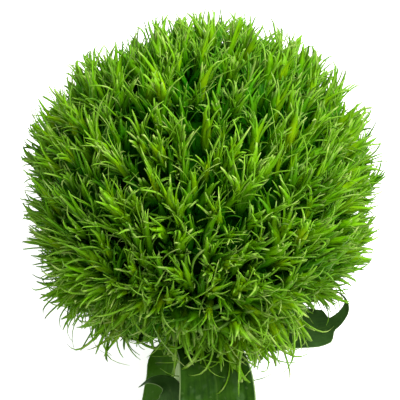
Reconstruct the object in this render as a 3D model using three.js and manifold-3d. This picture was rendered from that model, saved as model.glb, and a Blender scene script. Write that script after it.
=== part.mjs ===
// A sweet william of the petal-less green kind, cut and laid on its side on a flat surface: a ball of bract tufts
// that end in bristles, on a jointed stem with pairs of lance-shaped leaves. Millimetres, +Z up. The surface is
// z = 0, the stem runs along Y with its cut end at low Y, and the head rests on bristles that the surface bends.
import * as THREE from "three";
import { ConvexHull } from "three/addons/math/ConvexHull.js";
import { mergeVertices } from "three/addons/utils/BufferGeometryUtils.js";
import Module from "manifold-3d";

// The head
const HEAD_CENTRE = new THREE.Vector3(0, 75, 35.5);
const HEAD_RADIUS = 40; // centre to the outermost bristle tips
const CORE_RADIUS = 28.5; // the packed inner shoots, which the tufts stand out of
const CORE_POINTS = 372; // corners of the core, whose every facet carries a tuft
const CORE_JITTER = 0.035; // how far a corner strays from an even spread, in radians
const SPREAD_DEPTH = 14.5; // the tufts radiate from a point this far below the head's centre
const CORE_SEED = 20;
const TUFT_SEED = 1000; // the first tuft's, and the next one's is one more

// The tufts, each one a shoot that narrows to its shoulder and divides there into three bristles
const TUFT_SHOULDER_RADIUS = [1.05, 1.4];
const TUFT_SHOULDER_AT = [0.4, 0.58]; // share of the free length below the shoulder
const TUFT_LEAN = 0.13; // how far a tuft strays from its own direction, as a slope
const BRISTLE_SPREAD = [0.9, 2.3]; // how far a bristle tip stands off the tuft's line
const BRISTLE_SHORT = 0.82; // the shortest bristle's share of the length above the shoulder
const REACH_VARIES = 0.05; // share of the head's radius by which tufts fall short
const CLEARANCE = 0.35; // the least gap between a tuft and a leaf or the stem
const TUFT_TRIES = 40; // a tuft in something's way is drawn again this often, closer and shorter each time
const TUFT_SHORTEST = 0.35; // share of its length left to a tuft pressed by a leaf
const FORK_DEPTH = 0.1; // how far the fork between the bristles lies below the shoulder, as a share of the length
const NEAR = 14; // tufts whose roots are further apart than this can't touch
const TOUCH = 1e-7; // the shared volume above which two tufts cross

// The underside, which the surface flattens: what would reach below it is pressed together and spread outwards
const SETTLE_TOP = 7; // the height below which the tufts are pressed
const SETTLE_BITE = 3; // how far the lowest tips would press below the surface, which leaves them flat on it
const SETTLE_SPREAD = 0.035; // share by which a tuft moves outwards for each millimetre it loses

// The stem, from under the core to the cut end, given as steps from the head's centre in x and y, and height
const STEM_RADIUS_TOP = 2.05;
const STEM_RADIUS_CUT = 2.4;
const STEM_SIDES = 10;
const STEM_STATIONS = 30;
const STEM_JOINT_SWELL = 0.75; // extra radius at a joint, where the leaves grow
const STEM_JOINT_LENGTH = 2.6; // half the length over which a joint swells
const STEM_JOINTS = [-33.5, -83, -136]; // y of each joint from the head's centre
const STEM_GAP = 0.3; // from the core to the stem's top
const STEM_JOINT_STEPS = [-1.4, -0.6, 0, 0.6, 1.4]; // extra sections over a joint, in lengths of its swelling
const STEM_CLOSEST = 0.004; // sections closer than this share of the stem's length are left out
const STEM_ROUTE = [
  [-3.1, -40, 28.6],
  [-4.2, -62, 24.7],
  [-4.4, -83, 21.2],
  [-3.2, -110, 16.4],
  [-1.6, -136, 11.8],
  [0.6, -164, 6.7],
  [2.2, -190, 2.15],
];

// The leaves
const LEAF_THICKNESS = 0.7;
const LEAF_STATIONS = 14;
const LEAF_CELLS = 4; // across the blade, two each side of the midrib
const LEAF_BASE_SHARE = 0.22; // width at the joint, as a share of the widest, where a leaf states no other
const LEAF_TIP_HALF = 0.4;
const LEAF_NARROWING = 0.03; // the stretch in which a leaf with a drawn-out tip narrows, as a share of its length
const LEAF_LOWEST = 0.02; // no leaf goes below this height
const LEAF_GAP = 0.35; // from the stem's joint to the leaf that it carries
const LEAF_RISE = 0.8; // how full a blade is below its widest place: less is fuller
const WAVE_TURNS = 17; // how fast the margins wave along a leaf, in radians over its length
const WAVE_SHIFT = 1.3; // how far the waves of the two margins are out of step

// Each leaf grows from a joint of the stem, numbered from the head, on the side given by turn in degrees: 0 is
// towards +X, 90 towards +Z. Its midrib goes on through route, as steps from the head's centre in x and y and
// height above the surface, and facing is the way in which its upper face looks at each of those points. half is
// half the greatest width and widest_at its place along the leaf. base_share is the width at the joint, as a share
// of the widest, and a leaf with a drawn-out tip narrows at narrows_at to the share narrows_to of its width.
const LEAVES = {
  leaf_front: {
    joint: 0, turn: 82, half: 8.6, widest_at: 0.34, channel: 0.16, wave: 0.25, base_share: 0.4,
    route: [
      [-0.8, -34.2, 38], [2.2, -37, 42.2], [4, -43, 43.6], [4.4, -53, 41.6], [4.6, -68, 36],
      [4.4, -82, 31], [4.2, -93, 28.6],
    ],
    facing: [
      [0.1, 1, 0.4], [0.05, 0.75, 1], [0, 0.25, 1], [0, -0.05, 1], [0, -0.3, 1], [0, -0.3, 1],
      [0, -0.1, 1],
    ],
  },
  leaf_back: {
    joint: 0, turn: -108, half: 6.4, widest_at: 0.46, channel: 0.15, wave: 0.3,
    route: [
      [-6.2, -37.4, 22.6], [-7.5, -43, 18.6], [-8.2, -52, 14], [-8.8, -64, 9.4], [-9, -77, 5],
      [-8.6, -90, 1.6],
    ],
    facing: [
      [-0.2, 0.8, 1], [0.35, 0.3, 1], [0.4, 0.1, 1], [0.35, 0.1, 1], [0.2, 0.2, 1], [0, 0.15, 1],
    ],
  },
  leaf_right_curl: {
    joint: 0, turn: -12, half: 5, widest_at: 0.42, channel: 0.2, wave: 0.2, narrows_at: 0.665, narrows_to: 0.42,
    route: [
      [6.5, -34.6, 28.2], [14, -33.6, 25.6], [21.5, -32.1, 25], [27.4, -32, 25.8], [30, -31.2, 27],
      [31.9, -29.8, 28.7], [33.3, -27.9, 30.4], [33.7, -26, 32], [32.9, -24.4, 33.4], [29.6, -22.4, 34.6],
    ],
    facing: [
      [0, 0.8, 1], [0, 0.6, 1], [0, 0.3, 1], [-0.1, 0.2, 1], [-0.2, 0.2, 1], [-0.3, 0.2, 1],
      [-0.5, 0.1, 1], [-0.8, 0, 0.9], [-0.8, -0.3, 0.6], [-0.5, -0.6, 0.5],
    ],
  },
  leaf_left_low: {
    joint: 0, turn: 192, half: 4.5, widest_at: 0.42, channel: 0.18, wave: 0.3,
    route: [
      [-10.6, -33, 24.8], [-16, -30.6, 18.4], [-20.4, -28, 11], [-24, -25, 4.6], [-27, -21.6, 1.4],
    ],
    facing: [
      [-0.1, 0.8, 1], [-0.6, 0.5, 0.8], [-0.7, 0.4, 0.8], [-0.5, 0.2, 1], [-0.2, 0, 1],
    ],
  },
  leaf_left_hook: {
    joint: 1, turn: 150, half: 6, widest_at: 0.46, channel: 0.2, wave: 0.2, narrows_at: 0.76, narrows_to: 0.75,
    route: [
      [-9.8, -74.5, 28], [-8.2, -65, 30.6], [-6.6, -55, 32], [-5.6, -48.4, 33.6], [-6.8, -44.4, 34.4],
      [-10.4, -43.4, 34], [-13.4, -45, 32],
    ],
    facing: [
      [0.2, 0.3, 1], [-0.2, 0.1, 1], [-0.3, 0, 1], [-0.35, 0.1, 1], [-0.3, 0.8, 0.7], [-0.2, 0.9, 0.5],
      [-0.6, 0.6, 0.45],
    ],
  },
  leaf_right_arch: {
    joint: 1, turn: -8, half: 7.4, widest_at: 0.44, channel: 0.22, wave: 0.5,
    route: [
      [5, -75.5, 23.8], [12.5, -67, 26.6], [20, -58, 26.6], [28, -55.8, 22.2], [35, -58.5, 15.4],
      [40, -64.5, 9.6],
    ],
    facing: [
      [-0.3, 0.4, 1], [-0.1, 0.2, 1], [0.2, 0.3, 1], [0.5, 0.2, 1], [0.7, -0.1, 0.8],
      [0.6, -0.4, 0.7],
    ],
  },
  leaf_right_lower: {
    joint: 2, turn: 35, half: 7.8, widest_at: 0.42, channel: 0.2, wave: 0.5,
    route: [
      [6, -127, 18.4], [14, -115.5, 21.6], [23, -104.5, 20.6], [30.5, -98.6, 15.6], [36.5, -97, 9.4],
      [40.5, -98.5, 4.2],
    ],
    facing: [
      [-0.3, 0.35, 1], [-0.1, 0.2, 1], [0.2, 0.2, 1], [0.5, 0.2, 1], [0.7, 0, 0.8], [0.7, -0.2, 0.7],
    ],
  },
  leaf_left_lower: {
    joint: 2, turn: 200, half: 7.6, widest_at: 0.42, channel: 0.18, wave: 0.4,
    route: [
      [-9.5, -128, 10.4], [-17, -119.5, 9], [-25, -113, 6.6], [-32.5, -109.4, 3.2], [-40, -108.6, 1],
    ],
    facing: [
      [0.2, 0.2, 1], [0, 0.1, 1], [-0.2, 0.1, 1], [-0.2, 0, 1], [0, 0, 1],
    ],
  },
};

const FINISHES = {
  head: { color: 0x6f9e1c, roughness: 0.55 },
  stem: { color: 0x8fae6a, roughness: 0.6 },
  leaf: { color: 0x2f5a24, roughness: 0.45 },
};
const MERGE_WITHIN = 1e-4; // corners closer than this are one

const wasm = await Module();
wasm.setup();

// A seeded draw of numbers from 0 to 1, the same on every run.
function seededDraw(seed) {
  let state = seed >>> 0;
  return () => {
    state = (state + 0x6d2b79f5) >>> 0;
    let t = state;
    t = Math.imul(t ^ (t >>> 15), t | 1);
    t ^= t + Math.imul(t ^ (t >>> 7), t | 61);
    return ((t ^ (t >>> 14)) >>> 0) / 4294967296;
  };
}

const between = (low, high, share) => low + (high - low) * share;
const point = (values) => new THREE.Vector3(...values);

// A place given as steps from the head's centre in x and y, and a height above the surface.
function place([x, y, z]) {
  return new THREE.Vector3(HEAD_CENTRE.x + x, HEAD_CENTRE.y + y, z);
}

const stemTopGuide = place(STEM_ROUTE[0]);
const HEAD_AXIS = HEAD_CENTRE.clone().sub(stemTopGuide).normalize(); // from the stem to the crown
const SPREAD_POINT = HEAD_CENTRE.clone().addScaledVector(HEAD_AXIS, -SPREAD_DEPTH);

// A mesh from its corners and the corner numbers of its triangles, three by three.
function geometryOf(positions, triangles) {
  const geometry = new THREE.BufferGeometry();
  geometry.setAttribute("position", new THREE.Float32BufferAttribute(positions.flatMap((p) => p.toArray()), 3));
  geometry.setIndex(triangles);
  return geometry;
}

// A closed mesh as a solid that can be joined, cut and measured.
function solidOf(geometry) {
  const bare = geometry.clone();
  bare.deleteAttribute("normal");
  bare.deleteAttribute("uv");
  const merged = mergeVertices(bare, MERGE_WITHIN);
  return new wasm.Manifold(new wasm.Mesh({
    numProp: 3,
    vertProperties: new Float32Array(merged.attributes.position.array),
    triVerts: new Uint32Array(merged.index.array),
  }));
}

// A solid as a mesh again.
function geometryFromSolid(solid) {
  const mesh = solid.getMesh();
  const positions = [];
  for (let i = 0; i < mesh.numVert; i++) {
    positions.push(point(mesh.vertProperties.slice(i * mesh.numProp, i * mesh.numProp + 3)));
  }
  const geometry = geometryOf(positions, Array.from(mesh.triVerts));
  geometry.computeVertexNormals();
  return geometry;
}

// Joins rings of equal size, each listed anticlockwise as seen from ahead, into one closed body with flat ends.
function loft(rings) {
  const size = rings[0].length;
  const triangles = [];
  for (let r = 0; r + 1 < rings.length; r++) {
    for (let k = 0; k < size; k++) {
      const a = r * size + k;
      const b = r * size + ((k + 1) % size);
      triangles.push(a, b, b + size, a, b + size, a + size);
    }
  }
  const last = (rings.length - 1) * size;
  for (let k = 1; k + 1 < size; k++) {
    triangles.push(0, k + 1, k, last, last + k, last + k + 1);
  }
  return geometryOf(rings.flat(), triangles);
}

// Two unit vectors across a direction, right-handed with it.
function crossAxes(direction) {
  const steep = Math.abs(direction.z) > 0.9;
  const helper = steep ? new THREE.Vector3(1, 0, 0) : new THREE.Vector3(0, 0, 1);
  const side = new THREE.Vector3().crossVectors(helper, direction).normalize();
  return [side, new THREE.Vector3().crossVectors(direction, side).normalize()];
}

// The stem's middle line, from just under the core to the cut end.
function stemCurve() {
  const top = HEAD_CENTRE.clone().addScaledVector(HEAD_AXIS, -(CORE_RADIUS + STEM_GAP));
  return new THREE.CatmullRomCurve3([top, ...STEM_ROUTE.map(place)]);
}

// The share of the stem's length at which it passes a y given from the head's centre. It runs nearly along Y.
function shareOfStemAt(curve, y) {
  let [low, high] = [0, 1];
  for (let i = 0; i < 20; i++) {
    const middle = (low + high) / 2;
    if (curve.getPointAt(middle).y - HEAD_CENTRE.y > y) low = middle;
    else high = middle;
  }
  return low;
}

// The stem's centre, direction and two cross directions at a share of its length: side towards +X, up towards +Z.
function stemFrame(curve, share) {
  const centre = curve.getPointAt(share);
  const along = curve.getTangentAt(share);
  const side = new THREE.Vector3(0, 0, 1).cross(along).normalize();
  const up = new THREE.Vector3().crossVectors(along, side);
  return { centre, along, side, up };
}

// The stem: round, a little thicker to the cut end, swollen at each joint.
function stemGeometry() {
  const curve = stemCurve();
  const length = curve.getLength();
  const stops = Array.from({ length: STEM_STATIONS + 1 }, (_, i) => i / STEM_STATIONS);
  const joints = STEM_JOINTS.map((y) => shareOfStemAt(curve, y));
  for (const joint of joints) {
    for (const step of STEM_JOINT_STEPS) stops.push(joint + (step * STEM_JOINT_LENGTH) / length);
  }
  const shares = stops.filter((s) => s >= 0 && s <= 1).sort((a, b) => a - b)
    .filter((s, i, all) => i === 0 || s === 1 || s - all[i - 1] > STEM_CLOSEST);
  const rings = shares.map((share) => {
    const { centre, side, up } = stemFrame(curve, share);
    let radius = between(STEM_RADIUS_TOP, STEM_RADIUS_CUT, share);
    for (const joint of joints) {
      const away = ((share - joint) * length) / STEM_JOINT_LENGTH;
      radius += STEM_JOINT_SWELL * Math.exp(-away * away);
    }
    return Array.from({ length: STEM_SIDES }, (_, k) => {
      const turn = ((k + 0.5) / STEM_SIDES) * 2 * Math.PI;
      const across = side.clone().multiplyScalar(Math.cos(turn)).addScaledVector(up, Math.sin(turn));
      return centre.clone().addScaledVector(across, radius);
    });
  });
  return geometryFromSolid(solidOf(loft(rings)).trimByPlane([0, 0, 1], 0));
}

// Half the blade's width at a share of its length, as a share of the greatest: a curve that rises to 1 at its
// widest place and falls to the tip, and that narrows once more where the tip is drawn out.
function bladeShape(share, { widest_at, base_share = LEAF_BASE_SHARE, narrows_at = 2, narrows_to = 1 }) {
  const fall = (LEAF_RISE * (1 - widest_at)) / widest_at;
  const lance = (share / widest_at) ** LEAF_RISE * ((1 - share) / (1 - widest_at)) ** fall;
  const stalk = base_share * Math.max(0, 1 - share / widest_at);
  const drawn = 1 - (1 - narrows_to) * THREE.MathUtils.smoothstep(share, narrows_at, narrows_at + LEAF_NARROWING);
  return (lance * (1 - stalk) + stalk) * drawn;
}

// Where a leaf's midrib starts, against the side of its joint, and the way its upper face looks there: inwards.
function leafBase(joint, turn) {
  const curve = stemCurve();
  const share = shareOfStemAt(curve, STEM_JOINTS[joint]);
  const { centre, side, up } = stemFrame(curve, share);
  const angle = THREE.MathUtils.degToRad(turn);
  const outwards = side.multiplyScalar(Math.cos(angle)).addScaledVector(up, Math.sin(angle));
  const jointRadius = between(STEM_RADIUS_TOP, STEM_RADIUS_CUT, share) + STEM_JOINT_SWELL;
  const start = centre.addScaledVector(outwards, jointRadius + LEAF_GAP + LEAF_THICKNESS / 2);
  return { start, inwards: outwards.negate() };
}

// A blade along its midrib: channelled, waved at the margins, with both faces divided alike.
function leafGeometry(leaf) {
  const { joint, turn, route, facing, half, channel, wave } = leaf;
  const { start, inwards } = leafBase(joint, turn);
  const midrib = new THREE.CatmullRomCurve3([start, ...route.map(place)], false, "centripetal");
  const looks = new THREE.CatmullRomCurve3([inwards, ...facing.map(point)], false, "centripetal");
  const rings = [];
  for (let i = 0; i <= LEAF_STATIONS; i++) {
    const share = i / LEAF_STATIONS;
    const t = midrib.getUtoTmapping(share);
    const centre = midrib.getPoint(t);
    const along = midrib.getTangent(t);
    const look = looks.getPoint(t);
    const side = new THREE.Vector3().crossVectors(look, along).normalize();
    const up = new THREE.Vector3().crossVectors(along, side).normalize();
    const reach = Math.max(half * bladeShape(share, leaf), LEAF_TIP_HALF);
    const upper = [];
    const lower = [];
    for (let k = 0; k <= LEAF_CELLS; k++) {
      const across = (2 * k) / LEAF_CELLS - 1;
      const waved = wave * Math.sin(share * WAVE_TURNS + across * WAVE_SHIFT) * Math.sin(Math.PI * share);
      const lift = (reach * channel + waved) * across * across;
      const onFace = centre.clone().addScaledVector(side, reach * across).addScaledVector(up, lift);
      upper.push(onFace.clone().addScaledVector(up, LEAF_THICKNESS / 2));
      lower.push(onFace.clone().addScaledVector(up, -LEAF_THICKNESS / 2));
    }
    const ring = [...lower, ...upper.reverse()];
    const sunk = Math.min(...ring.map((p) => p.z)) - LEAF_LOWEST;
    if (sunk < 0) ring.forEach((p) => { p.z -= sunk; });
    rings.push(ring);
  }
  return loft(rings);
}

// Evenly spread directions over a sphere, by the golden angle.
function evenDirection(index, count) {
  const height = 1 - (2 * index + 1) / count;
  const ring = Math.sqrt(1 - height * height);
  const turn = index * Math.PI * (3 - Math.sqrt(5));
  return new THREE.Vector3(ring * Math.cos(turn), ring * Math.sin(turn), height);
}

// Presses what is near the surface together, without crossing, and moves it outwards by a share of what it loses.
function settle(p) {
  if (p.z >= SETTLE_TOP) return p;
  const room = SETTLE_TOP + SETTLE_BITE;
  const range = SETTLE_TOP - (HEAD_CENTRE.z - HEAD_RADIUS);
  const below = Math.min(SETTLE_TOP - p.z, range);
  const lost = ((range - room) / range ** 2) * below ** 2;
  const outwards = 1 + SETTLE_SPREAD * lost;
  p.x = HEAD_CENTRE.x + (p.x - HEAD_CENTRE.x) * outwards;
  p.y = HEAD_CENTRE.y + (p.y - HEAD_CENTRE.y) * outwards;
  p.z += lost;
  return p;
}

// The corners of the core, and its facets as triples of them, anticlockwise as seen from outside.
function coreFacets(draw) {
  const corners = Array.from({ length: CORE_POINTS }, (_, i) => {
    const stray = point([2 * draw() - 1, 2 * draw() - 1, 2 * draw() - 1]).multiplyScalar(CORE_JITTER);
    return HEAD_CENTRE.clone().addScaledVector(evenDirection(i, CORE_POINTS).add(stray).normalize(), CORE_RADIUS);
  });
  const hull = new ConvexHull().setFromPoints(corners);
  const facets = hull.faces.map((face) => {
    const edges = [face.edge, face.edge.next, face.edge.prev];
    return edges.map((edge) => corners.indexOf(edge.head().point));
  });
  return { corners, facets };
}

// The seven free points of one tuft: three shoulder corners, the fork between them, and three bristle tips.
function tuftPoints(root, shape, draw) {
  const middle = root[0].clone().add(root[1]).add(root[2]).divideScalar(3);
  const along = middle.clone().sub(SPREAD_POINT).normalize();
  const [side, up] = crossAxes(along);
  along.addScaledVector(side, shape.lean * (2 * draw() - 1));
  along.addScaledVector(up, shape.lean * (2 * draw() - 1)).normalize();
  const limit = new THREE.Sphere(HEAD_CENTRE, HEAD_RADIUS * (1 - REACH_VARIES * draw()));
  const free = middle.distanceTo(new THREE.Ray(middle, along).intersectSphere(limit, new THREE.Vector3())) * shape.length;
  const tip = middle.clone().addScaledVector(along, free);
  const shoulder = middle.clone().addScaledVector(along, free * between(...TUFT_SHOULDER_AT, draw()));
  // The shoulder's corners face those of the root, so the tuft's sides don't twist.
  const outward = root.map((corner) => corner.clone().sub(middle).projectOnPlane(along).normalize());
  const radius = between(...TUFT_SHOULDER_RADIUS, draw());
  const corners = outward.map((way) => shoulder.clone().addScaledVector(way, radius));
  const fork = shoulder.clone().addScaledVector(along, -FORK_DEPTH * free);
  const tips = outward.map((way, k) => {
    const apart = way.clone().add(outward[(k + 1) % 3]).normalize();
    const end = shoulder.clone().lerp(tip, between(BRISTLE_SHORT, 1, draw()));
    return end.addScaledVector(apart, shape.spread * between(...BRISTLE_SPREAD, draw()));
  });
  return [...corners, fork, ...tips].map(settle);
}

// The triangles of a tuft on three root corners a, b, c, whose free points start at index f.
function tuftTriangles([a, b, c], f) {
  const root = [a, b, c];
  const fork = f + 3;
  const triangles = [];
  for (let k = 0; k < 3; k++) {
    const next = (k + 1) % 3;
    const bristle = f + 4 + k;
    triangles.push(root[k], root[next], f + next, root[k], f + next, f + k);
    triangles.push(f + k, f + next, bristle, f + next, fork, bristle, fork, f + k, bristle);
  }
  return triangles;
}

// One tuft as a closed solid of its own, to test it against its neighbours.
function tuftSolid(root, free) {
  return solidOf(geometryOf([...root, ...free], [0, 2, 1, ...tuftTriangles([0, 1, 2], 3)]));
}

// The head: a many-sided core, each facet of which is drawn out into a tuft. A tuft that would touch a leaf, the
// stem or another tuft is drawn again, closer and shorter; where none fits, the facet stays bare.
function headGeometry(neighbours) {
  const { corners, facets } = coreFacets(seededDraw(CORE_SEED));
  const positions = corners.map((corner) => settle(corner.clone()));
  const triangles = [];
  const placed = [];
  facets.forEach((facet, number) => {
    const draw = seededDraw(TUFT_SEED + number);
    const root = facet.map((index) => corners[index]);
    const settledRoot = facet.map((index) => positions[index]);
    const middle = root[0].clone().add(root[1]).add(root[2]).divideScalar(3);
    const near = placed.filter((other) => other.middle.distanceTo(middle) < NEAR);
    let tuft = null;
    for (let tries = 0; tries < TUFT_TRIES && !tuft; tries++) {
      const closer = 1 - tries / TUFT_TRIES;
      const shape = { lean: TUFT_LEAN * (0.6 + closer), spread: 0.3 + 0.7 * closer, length: 1 };
      if (tries > TUFT_TRIES / 2) shape.length = between(TUFT_SHORTEST, 1, 2 * closer);
      const free = tuftPoints(root, shape, draw);
      const solid = tuftSolid(settledRoot, free);
      const clear = neighbours.every((n) => solid.minGap(n, CLEARANCE) >= CLEARANCE)
        && near.every((other) => solid.intersect(other.solid).volume() < TOUCH);
      if (clear) tuft = { middle, solid, free };
    }
    if (tuft) {
      triangles.push(...tuftTriangles(facet, positions.length));
      positions.push(...tuft.free);
      placed.push(tuft);
    } else {
      triangles.push(...facet);
    }
  });
  const whole = solidOf(geometryOf(positions, triangles)).trimByPlane([0, 0, 1], 0);
  const largest = whole.decompose().sort((p, q) => q.volume() - p.volume())[0];
  return geometryFromSolid(largest);
}

function meshOf(name, geometry, finish) {
  const mesh = new THREE.Mesh(geometry, new THREE.MeshStandardMaterial({ ...finish, metalness: 0 }));
  mesh.name = name;
  return mesh;
}

const flower = new THREE.Group();
const stem = stemGeometry();
flower.add(meshOf("stem", stem, FINISHES.stem));
const nearHead = [solidOf(stem)];
for (const [name, shape] of Object.entries(LEAVES)) {
  const leaf = leafGeometry(shape);
  flower.add(meshOf(name, leaf, FINISHES.leaf));
  nearHead.push(solidOf(leaf));
}
flower.add(meshOf("head", headGeometry(nearHead), FINISHES.head));

export default flower;
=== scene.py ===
"""A cut sweet william of the petal-less green kind, lying on its side on a pale surface.

The head is a ball of some sixteen hundred shoots, long ones with short ones between them. Each is a slim
closed bud of crossed pairs of bracts, whose tips run out into curling bristles. Below it come the jointed
stem and its lance-shaped leaves. The pieces are worked out in millimetres, in the same frame as the solids
they dress, and become meshes in metres.
"""

import logging
import math
from dataclasses import dataclass, field, fields
from enum import Enum, IntEnum
from typing import Any

import bpy
import numpy as np
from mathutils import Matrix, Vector


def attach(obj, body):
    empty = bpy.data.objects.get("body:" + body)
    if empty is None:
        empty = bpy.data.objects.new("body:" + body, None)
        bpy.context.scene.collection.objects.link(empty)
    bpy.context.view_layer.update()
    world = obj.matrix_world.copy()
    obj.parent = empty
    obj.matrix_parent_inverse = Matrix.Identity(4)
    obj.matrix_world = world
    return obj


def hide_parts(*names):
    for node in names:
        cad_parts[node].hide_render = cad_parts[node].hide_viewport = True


Array = np.ndarray
Material = bpy.types.Material
Triple = tuple[float, float, float]
Colour = tuple[float, float, float]
Range = tuple[float, float]
LOG = logging.getLogger("sweet_william")
MM = 0.001
FULL_TURN = 2.0 * math.pi
GOLDEN_SHARE = 3.0 - math.sqrt(5.0)  # the golden angle, as a share of half a turn
ROOT = "root"
UV_NAME = "blade"
MARKS_NAME = "marks"
LEAVES_NEAR_HEAD = 5  # the first leaves of the list, which the shoots keep clear of

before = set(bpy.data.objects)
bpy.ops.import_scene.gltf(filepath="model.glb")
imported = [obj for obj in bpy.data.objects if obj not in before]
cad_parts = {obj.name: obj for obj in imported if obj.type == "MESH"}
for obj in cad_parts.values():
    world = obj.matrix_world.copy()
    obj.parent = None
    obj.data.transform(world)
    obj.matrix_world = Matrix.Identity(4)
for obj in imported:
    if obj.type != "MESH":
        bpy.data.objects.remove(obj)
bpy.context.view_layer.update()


# Measures shared with the solids, in millimetres


@dataclass(frozen=True)
class Layout:
    """Where the head and the stem lie, as in the solids."""

    head_centre: Triple = (0.0, 75.0, 35.5)
    head_radius: float = 40.0
    core_radius: float = 28.5
    stem_gap: float = 0.3
    stem_radius_top: float = 2.05
    stem_radius_cut: float = 2.4
    joint_swell: float = 0.75
    joint_length: float = 2.6
    joints: tuple[float, ...] = (-33.5, -83.0, -136.0)
    stem_route: tuple[Triple, ...] = (
        (-3.1, -40.0, 28.6),
        (-4.2, -62.0, 24.7),
        (-4.4, -83.0, 21.2),
        (-3.2, -110.0, 16.4),
        (-1.6, -136.0, 11.8),
        (0.6, -164.0, 6.7),
        (2.2, -190.0, 2.15),
    )

    def place(self, steps: Array) -> Array:
        """Turns steps from the head's centre in x and y, and heights, into places."""
        return np.asarray(steps, float) + np.array([self.head_centre[0], self.head_centre[1], 0.0])

    @property
    def centre(self) -> Array:
        """The head's centre."""
        return np.array(self.head_centre)

    @property
    def axis(self) -> Array:
        """The unit vector from the stem's top to the crown of the head."""
        return unit(self.centre - self.place(self.stem_route[0]))

    def plain_radius(self, share: Array) -> Array:
        """Gives the stem's radius away from its joints: an even taper along its length."""
        return self.stem_radius_top + (self.stem_radius_cut - self.stem_radius_top) * share


class LeafName(Enum):
    """The leaves, named as the solids are."""

    FRONT = "leaf_front"
    BACK = "leaf_back"
    RIGHT_CURL = "leaf_right_curl"
    LEFT_LOW = "leaf_left_low"
    LEFT_HOOK = "leaf_left_hook"
    RIGHT_ARCH = "leaf_right_arch"
    RIGHT_LOWER = "leaf_right_lower"
    LEFT_LOWER = "leaf_left_lower"


# Curves and meshes


def unit(vectors: Array) -> Array:
    """Scales vectors to length 1 along their last axis.

    Args:
        vectors: any array whose last axis holds the components.

    Returns:
        The unit vectors, in the same shape.
    """
    return vectors / np.maximum(np.linalg.norm(vectors, axis=-1, keepdims=True), 1e-12)


def smooth_step(values: Array, low: float, high: float) -> Array:
    """Rises smoothly from 0 at low to 1 at high: 3x^2 - 2x^3 on the clipped share x.

    Args:
        values: where to evaluate it.
        low: where the rise starts.
        high: where it ends.

    Returns:
        The risen values, from 0 to 1.
    """
    share = np.clip((values - low) / (high - low), 0.0, 1.0)
    return share * share * (3.0 - 2.0 * share)


@dataclass
class SmoothCurve:
    """A centripetal Catmull-Rom curve through points, read by parameter or by share of its length."""

    points: Array
    fine: int = 600
    least_root: float = 1e-4
    difference: float = 1e-4
    steps: Array = field(init=False)
    lengths: Array = field(init=False)

    def __post_init__(self) -> None:
        """Measures the curve's length up to each of many fine steps."""
        self.points = np.asarray(self.points, float)
        self.steps = np.linspace(0.0, 1.0, self.fine)
        runs = np.linalg.norm(np.diff(self.at(self.steps), axis=0), axis=1)
        self.lengths = np.concatenate([[0.0], np.cumsum(runs)])

    def at(self, t: Array) -> Array:
        """Finds points of the curve.

        Each span is a cubic, whose tangents are weighted by the square roots of the lengths of the spans
        round it.

        Args:
            t: parameters from 0 to 1, spread evenly over the spans.

        Returns:
            One point for each parameter.
        """
        p = self.points
        spans = len(p) - 1
        scaled = np.clip(np.asarray(t, float), 0.0, 1.0) * spans
        i = np.minimum(scaled.astype(int), spans - 1)
        s = (scaled - i)[:, None]
        padded = np.vstack([2 * p[0] - p[1], p, 2 * p[-1] - p[-2]])
        p0, p1, p2, p3 = padded[i], padded[i + 1], padded[i + 2], padded[i + 3]
        d0, d1, d2 = (
            np.sqrt(np.linalg.norm(b - a, axis=1, keepdims=True)) for a, b in ((p0, p1), (p1, p2), (p2, p3))
        )
        d1 = np.where(d1 < self.least_root, 1.0, d1)
        d0 = np.where(d0 < self.least_root, d1, d0)
        d2 = np.where(d2 < self.least_root, d1, d2)
        m1 = d1 * ((p1 - p0) / d0 - (p2 - p0) / (d0 + d1) + (p2 - p1) / d1)
        m2 = d1 * ((p2 - p1) / d1 - (p3 - p1) / (d1 + d2) + (p3 - p2) / d2)
        c2 = -3 * p1 + 3 * p2 - 2 * m1 - m2
        c3 = 2 * p1 - 2 * p2 + m1 + m2
        return p1 + s * (m1 + s * (c2 + s * c3))

    def t_at(self, share: Array) -> Array:
        """Turns shares of the curve's length into its parameters."""
        return np.interp(np.asarray(share) * self.lengths[-1], self.lengths, self.steps)

    def direction(self, t: Array) -> Array:
        """Finds the unit tangents at parameters, by a small difference."""
        t = np.asarray(t, float)
        after = self.at(np.minimum(t + self.difference, 1.0))
        return unit(after - self.at(np.maximum(t - self.difference, 0.0)))


@dataclass
class Surface:
    """A closed surface: corners, the faces' corner numbers in one row, face sizes, UV places and marks."""

    corners: Array
    loops: Array
    sizes: Array
    uv: Array
    marks: Array

    def joined(self, other: "Surface") -> "Surface":
        """Puts two surfaces into one, with the other's faces numbered after this one's corners.

        Args:
            other: the surface to add.

        Returns:
            Both in one.
        """
        return Surface(
            np.vstack([self.corners, other.corners]),
            np.concatenate([self.loops, other.loops + len(self.corners)]),
            np.concatenate([self.sizes, other.sizes]),
            np.vstack([self.uv, other.uv]),
            np.vstack([self.marks, other.marks]),
        )


def running(steps: Array) -> Array:
    """Sums steps along the last axis, from 0 on."""
    return np.concatenate([np.zeros((*steps.shape[:-1], 1)), np.cumsum(steps, axis=-1)], axis=-1)


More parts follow.
